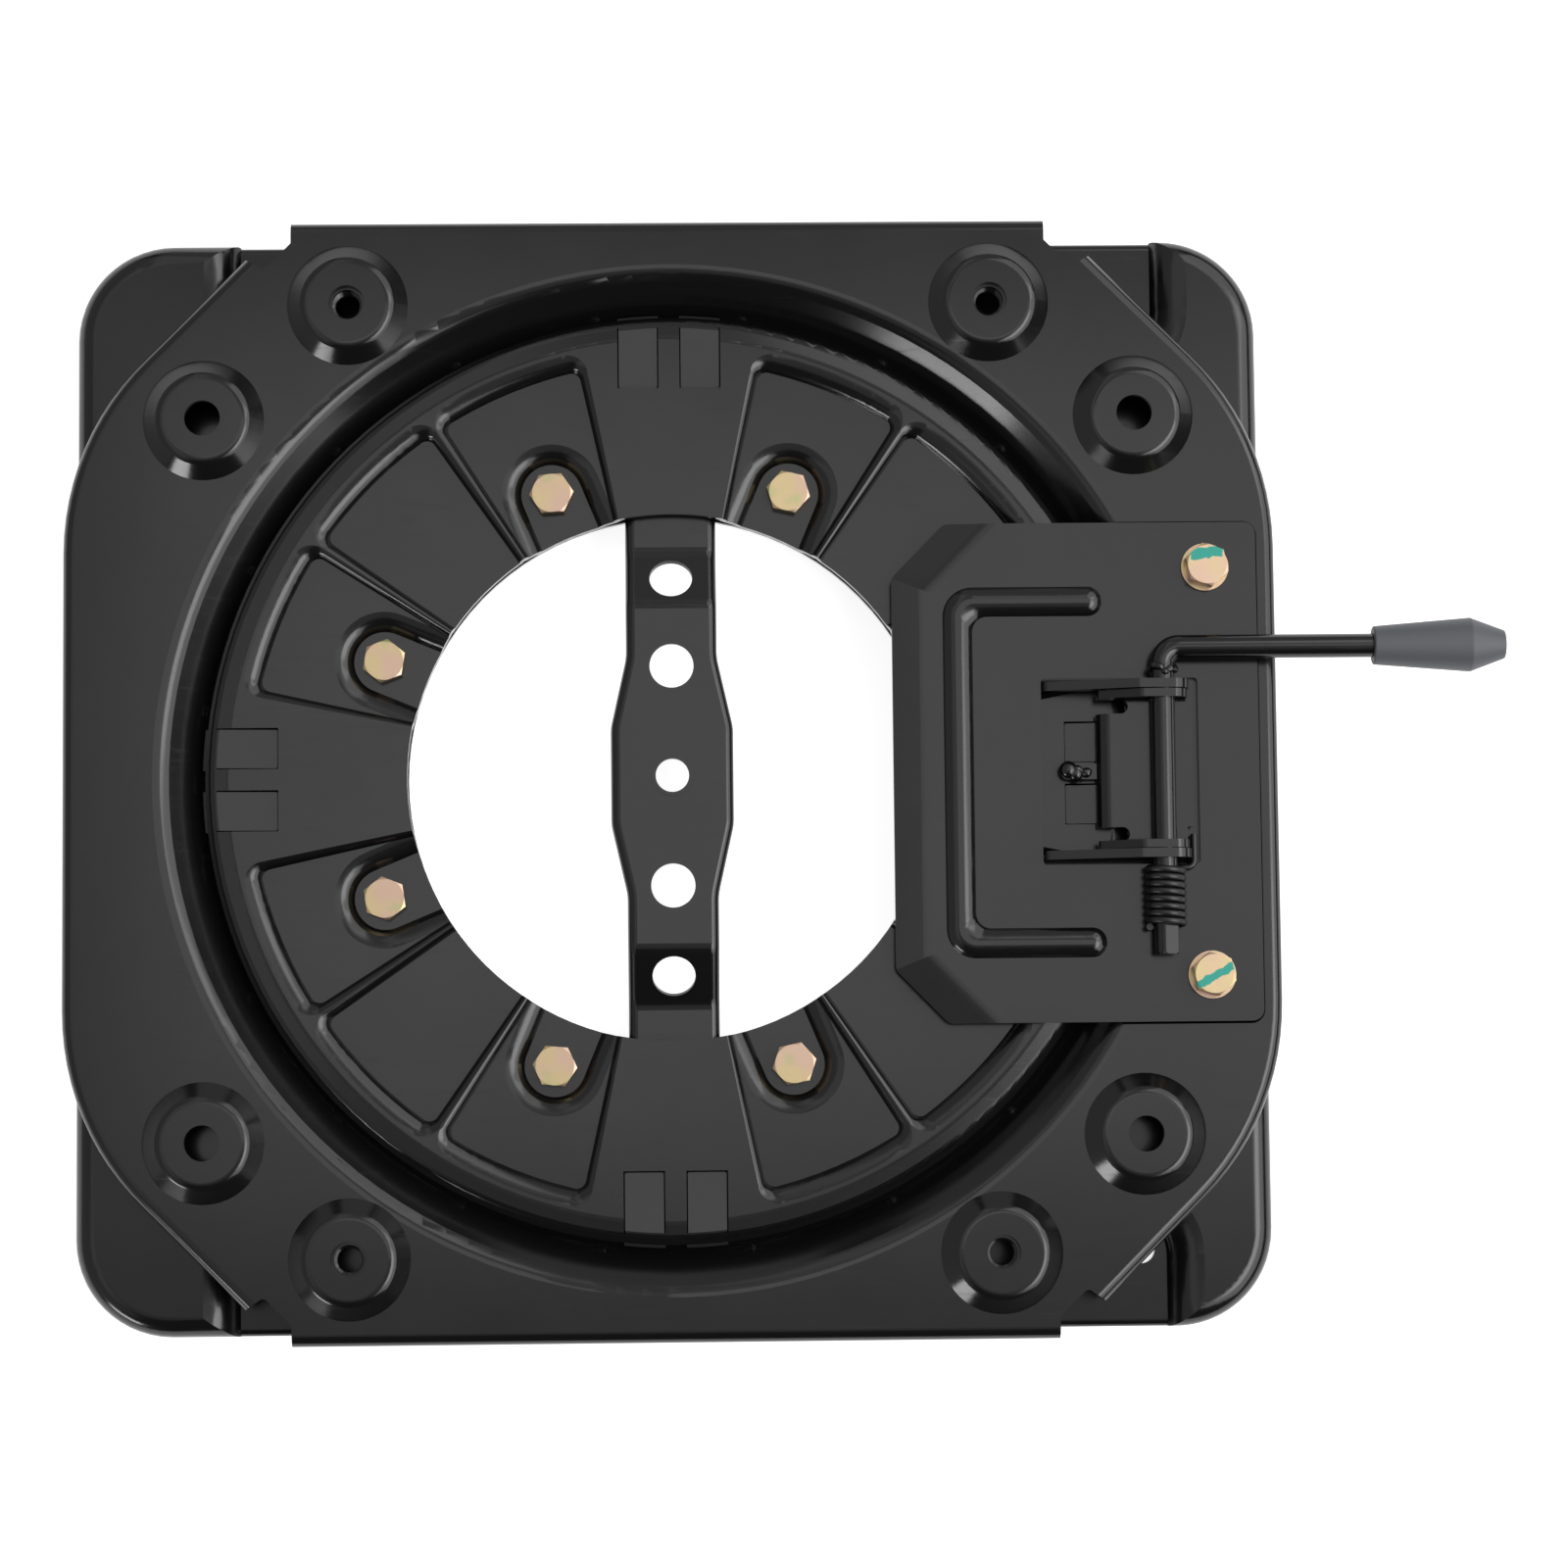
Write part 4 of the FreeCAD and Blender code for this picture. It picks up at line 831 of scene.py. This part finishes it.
@dataclass
class ReleaseLatch:
    """Sprung latch: welds of the handle and of the stop."""

    bench: Workbench
    seed: int = 11
    handle_drops: int = 13
    handle_reach_mm: float = 3.75
    handle_stray_mm: tuple[float, float] = (-0.15, 0.3)
    handle_along_mm: tuple[float, float] = (-1.1, 1.3)
    handle_radius_mm: tuple[float, float] = (1.25, 1.75)
    smooth_deg: float = 60.0
    stop_roughness: float = 0.5 * MM
    stop_drops_mm: tuple[tuple[float, float, float, float], ...] = (
        (6.6, 0.6, 2.3, 2.0),
        (9.8, -0.3, 2.9, 1.75),
        (3.4, -0.4, 2.2, 2.0),
        (8.2, 1.5, 3.0, 1.25),
        (4.8, -1.9, 2.9, 1.3),
    )

    def handle_bead(self) -> None:
        """Runs a lumpy collar of weld round the joint of shaft and handle rod."""
        low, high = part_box("handle_weld")
        centre = (low + high) / 2
        around = random.Random(self.seed)
        drops = []
        for i in range(self.handle_drops):
            angle = 2.0 * math.pi * i / self.handle_drops
            reach = (self.handle_reach_mm + around.uniform(*self.handle_stray_mm)) * MM
            along = around.uniform(*self.handle_along_mm) * MM
            spot = centre + Vector((reach * math.cos(angle), along, reach * math.sin(angle)))
            drops.append((spot, around.uniform(*self.handle_radius_mm) * MM))
        bead = WeldBead(self.bench, drops).build()
        self.bench.hand_over(bead, "handle_weld_bead", "lever", Slot.POWDER_COAT, self.smooth_deg)
        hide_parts("handle_weld")

    def stop_bead(self) -> None:
        """Piles weld between the stop's nose and the pawl's leg.

        Each drop is given in mm: its way back from the pawl, across, down from the stop's top, and
        its radius.
        """
        pawl_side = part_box("pawl_stop")[1]
        drops = []
        for back, across, down, radius in self.stop_drops_mm:
            spot = Vector((pawl_side.x - back * MM, across * MM, pawl_side.z - down * MM))
            drops.append((spot, radius * MM))
        bead = WeldBead(self.bench, drops, roughness=self.stop_roughness).build()
        self.bench.hand_over(bead, "stop_weld_bead", "lever", Slot.POWDER_COAT, self.smooth_deg)

    def build(self) -> None:
        """Adds both welds."""
        self.handle_bead()
        self.stop_bead()


@dataclass
class Studio:
    """Pale floor, soft lamps and a camera at the photograph's angle."""

    focal_ratio: float = 4575.0 / 1600.0
    tilt_deg: tuple[float, float, float] = (-5.06, 1.55, 0.48)
    shift_mm: tuple[float, float, float] = (-37.34, 3.27, -1500.0)
    sensor_mm: float = 36.0
    world: float = 0.05
    ceiling: float = 2.2
    lamp_distance: float = 2.3
    watts_per_area: float = 4.0
    floor_size: float = 40.0
    floor_grey: float = 0.5
    floor_roughness: float = 0.9
    floor_glow: float = 0.85

    def camera(self) -> None:
        """Places the camera from the fitted turn and shift of the object before it."""
        data = bpy.data.cameras.new("photo_camera")
        data.sensor_width = self.sensor_mm
        data.sensor_fit = "HORIZONTAL"
        data.lens = self.sensor_mm * self.focal_ratio
        camera = bpy.data.objects.new("photo_camera", data)
        bpy.context.collection.objects.link(camera)
        turn = Euler([math.radians(a) for a in self.tilt_deg], "XYZ").to_matrix()
        back = turn.transposed()
        camera.matrix_world = back.to_4x4()
        camera.location = back @ (-Vector(self.shift_mm) * MM)
        bpy.context.scene.camera = camera

    def floor(self) -> None:
        """Lays a wide pale floor, which looks white and keeps the object's shadow."""
        bpy.ops.object.select_all(action="DESELECT")
        bpy.ops.mesh.primitive_plane_add(size=self.floor_size, location=(0.0, 0.0, solid_box[0].z))
        plane = bpy.context.active_object
        plane.name = "floor"
        material, graph, shader = new_material("floor")
        shader.inputs["Base Color"].default_value = (self.floor_grey, self.floor_grey, self.floor_grey, 1.0)
        shader.inputs["Roughness"].default_value = self.floor_roughness
        path = graph.add("ShaderNodeLightPath")
        seen = graph.math("MAXIMUM", path.outputs["Is Camera Ray"], path.outputs["Is Glossy Ray"])
        seen = graph.math("MAXIMUM", seen, path.outputs["Is Transmission Ray"])
        white = graph.add("ShaderNodeEmission", color=(1.0, 1.0, 1.0, 1.0), strength=self.floor_glow)
        both = graph.add("ShaderNodeAddShader")
        mix = graph.add("ShaderNodeMixShader")
        graph.feed(both.inputs[0], shader.outputs[0])
        graph.feed(both.inputs[1], white.outputs[0])
        graph.feed(mix.inputs[0], seen)
        graph.feed(mix.inputs[1], shader.outputs[0])
        graph.feed(mix.inputs[2], both.outputs[0])
        out = material.node_tree.nodes["Material Output"]
        graph.feed(out.inputs["Surface"], mix.outputs[0])
        plane.data.materials.append(material)

    def lamp(self, name: str, size: tuple[float, float], radiance: float) -> bpy.types.Object:
        """Makes one oblong lamp.

        Args:
            name: the lamp's name.
            size: its width and height in metres.
            radiance: how bright its face is, where 1 is a white wall in full light.

        Returns:
            The lamp at the origin, facing down.
        """
        data = bpy.data.lights.new(name, "AREA")
        data.shape = "RECTANGLE"
        data.size, data.size_y = size
        data.energy = radiance * self.watts_per_area * size[0] * size[1]
        lamp = bpy.data.objects.new(name, data)
        bpy.context.collection.objects.link(lamp)
        return lamp

    def ceiling_panel(
        self, name: str, centre: tuple[float, float], size: tuple[float, float], radiance: float,
    ) -> None:
        """Hangs a level lamp under the ceiling, where the flat faces mirror it.

        Args:
            name: the lamp's name.
            centre: its place in metres along X and Y.
            size: its width and height in metres.
            radiance: how bright its face is.
        """
        lamp = self.lamp(name, size, radiance)
        lamp.location = (*centre, self.ceiling)

    def side_panel(
        self, name: str, azimuth: float, elevation: float, size: tuple[float, float], radiance: float,
    ) -> None:
        """Stands a lamp beside the object, turned towards it.

        Args:
            name: the lamp's name.
            azimuth: its side in degrees, from +X towards +Y.
            elevation: its height over the horizon in degrees.
            size: its width and height in metres.
            radiance: how bright its face is.
        """
        lamp = self.lamp(name, size, radiance)
        a, e = math.radians(azimuth), math.radians(elevation)
        toward = Vector((math.cos(a) * math.cos(e), math.sin(a) * math.cos(e), math.sin(e)))
        lamp.location = toward * self.lamp_distance
        lamp.rotation_euler = lamp.location.to_track_quat("Z", "Y").to_euler()

    def lamps(self) -> None:
        """Hangs and stands every lamp."""
        self.ceiling_panel("overhead", (0.27, 0.22), (1.44, 0.74), 1.15)
        self.ceiling_panel("overhead_wide", (-0.1, 0.1), (2.7, 2.1), 0.28)
        self.ceiling_panel("overhead_south", (0.65, -0.45), (1.5, 1.1), 0.3)
        self.ceiling_panel("overhead_south_east", (0.95, -0.42), (1.1, 0.84), 0.35)
        self.ceiling_panel("overhead_east", (0.8, -0.3), (0.8, 0.6), 0.65)
        self.side_panel("east", -11.0, 40.0, (3.1, 2.0), 1.9)
        self.side_panel("east_window", -19.0, 53.0, (1.4, 0.9), 2.6)
        self.side_panel("north_east", 47.0, 38.0, (1.5, 2.1), 1.4)
        self.side_panel("north", 88.0, 35.0, (1.6, 3.0), 0.35)
        self.side_panel("west", 165.0, 37.0, (6.0, 3.4), 0.3)
        self.side_panel("south_west", 232.0, 12.0, (0.8, 0.4), 8.0)

    def surroundings(self) -> None:
        """Fills the room with a faint white light."""
        world = bpy.data.worlds.new("studio")
        world.use_nodes = True
        sky = world.node_tree.nodes["Background"]
        sky.inputs["Color"].default_value = (1.0, 1.0, 1.0, 1.0)
        sky.inputs["Strength"].default_value = self.world
        bpy.context.scene.world = world

    def build(self) -> None:
        """Sets up the whole studio."""
        self.camera()
        self.floor()
        self.lamps()
        self.surroundings()
        bpy.context.scene.view_settings.view_transform = "Standard"


def make_finishes(groups: EffectGroups) -> dict[Slot, bpy.types.Material]:
    """Builds the finish of each material slot.

    Args:
        groups: the shared surface effects.

    Returns:
        The materials by slot.
    """
    return {
        Slot.POWDER_COAT: PowderCoat(groups).build(),
        Slot.YELLOW_ZINC: YellowZinc(groups).build(),
        Slot.BALL_STEEL: PlainFinish(groups, "ball_steel", (0.6, 0.6, 0.6), 0.16, 1.0, 0.01).build(),
        Slot.SPRING_WIRE: PlainFinish(groups, "spring_wire", (0.004, 0.004, 0.004), 0.4, 0.0, 0.05).build(),
        Slot.CAGE_PLASTIC: PlainFinish(groups, "cage_plastic", (0.05, 0.05, 0.05), 0.6, 0.0, 0.1).build(),
        Slot.GRIP_PLASTIC: GripPlastic(groups).build(),
    }


def dress_solids(finishes: dict[Slot, bpy.types.Material], groups: EffectGroups) -> None:
    """Gives every solid of the frame the finish of its slot.

    Args:
        finishes: the materials by slot.
        groups: the shared surface effects, for the three solids with a finish of their own.
    """
    slots = {s["node"]: Slot(s["material_slot"]) for s in frame["record"]["subparts"]}
    marks = (
        PaintStripe(x=180.0 * MM, y=72.6 * MM, angle_deg=8.0, half_width=1.9 * MM, reach=5.6 * MM),
        PaintStripe(x=180.4 * MM, y=-69.3 * MM, angle_deg=28.0, half_width=1.4 * MM, reach=6.9 * MM),
    )
    special = {
        "latch_bolts": YellowZinc(groups, name="yellow_zinc_marked", stripes=marks).build(),
        # The disc and the turntable carry painted shade: along the slot edges, on the lugs past the rim, and
        # beside the latch plate.
        "retaining_disc": PowderCoat(groups, "black_powder_coat_slot_shade", painted_shade=groups.painted_slot_shade).build(),
        "turntable_plate": PowderCoat(groups, "black_powder_coat_lap_shade", painted_shade=groups.painted_lap_shade).build(),
    }
    for name, node in frame["nodes"].items():
        node.data.materials.clear()
        node.data.materials.append(special.get(name, finishes[slots[name]]))
        log.info("%s: %s", name, slots[name].value)


def main() -> None:
    """Builds the scene."""
    logging.basicConfig(level=logging.INFO, format="%(message)s")
    groups = EffectGroups()
    Studio().build()
    finishes = make_finishes(groups)
    dress_solids(finishes, groups)
    bench = Workbench(finishes)
    LowerStage(bench).build()
    Turntable(bench).build()
    ReleaseLatch(bench).build()


if __name__ == "__main__":
    main()
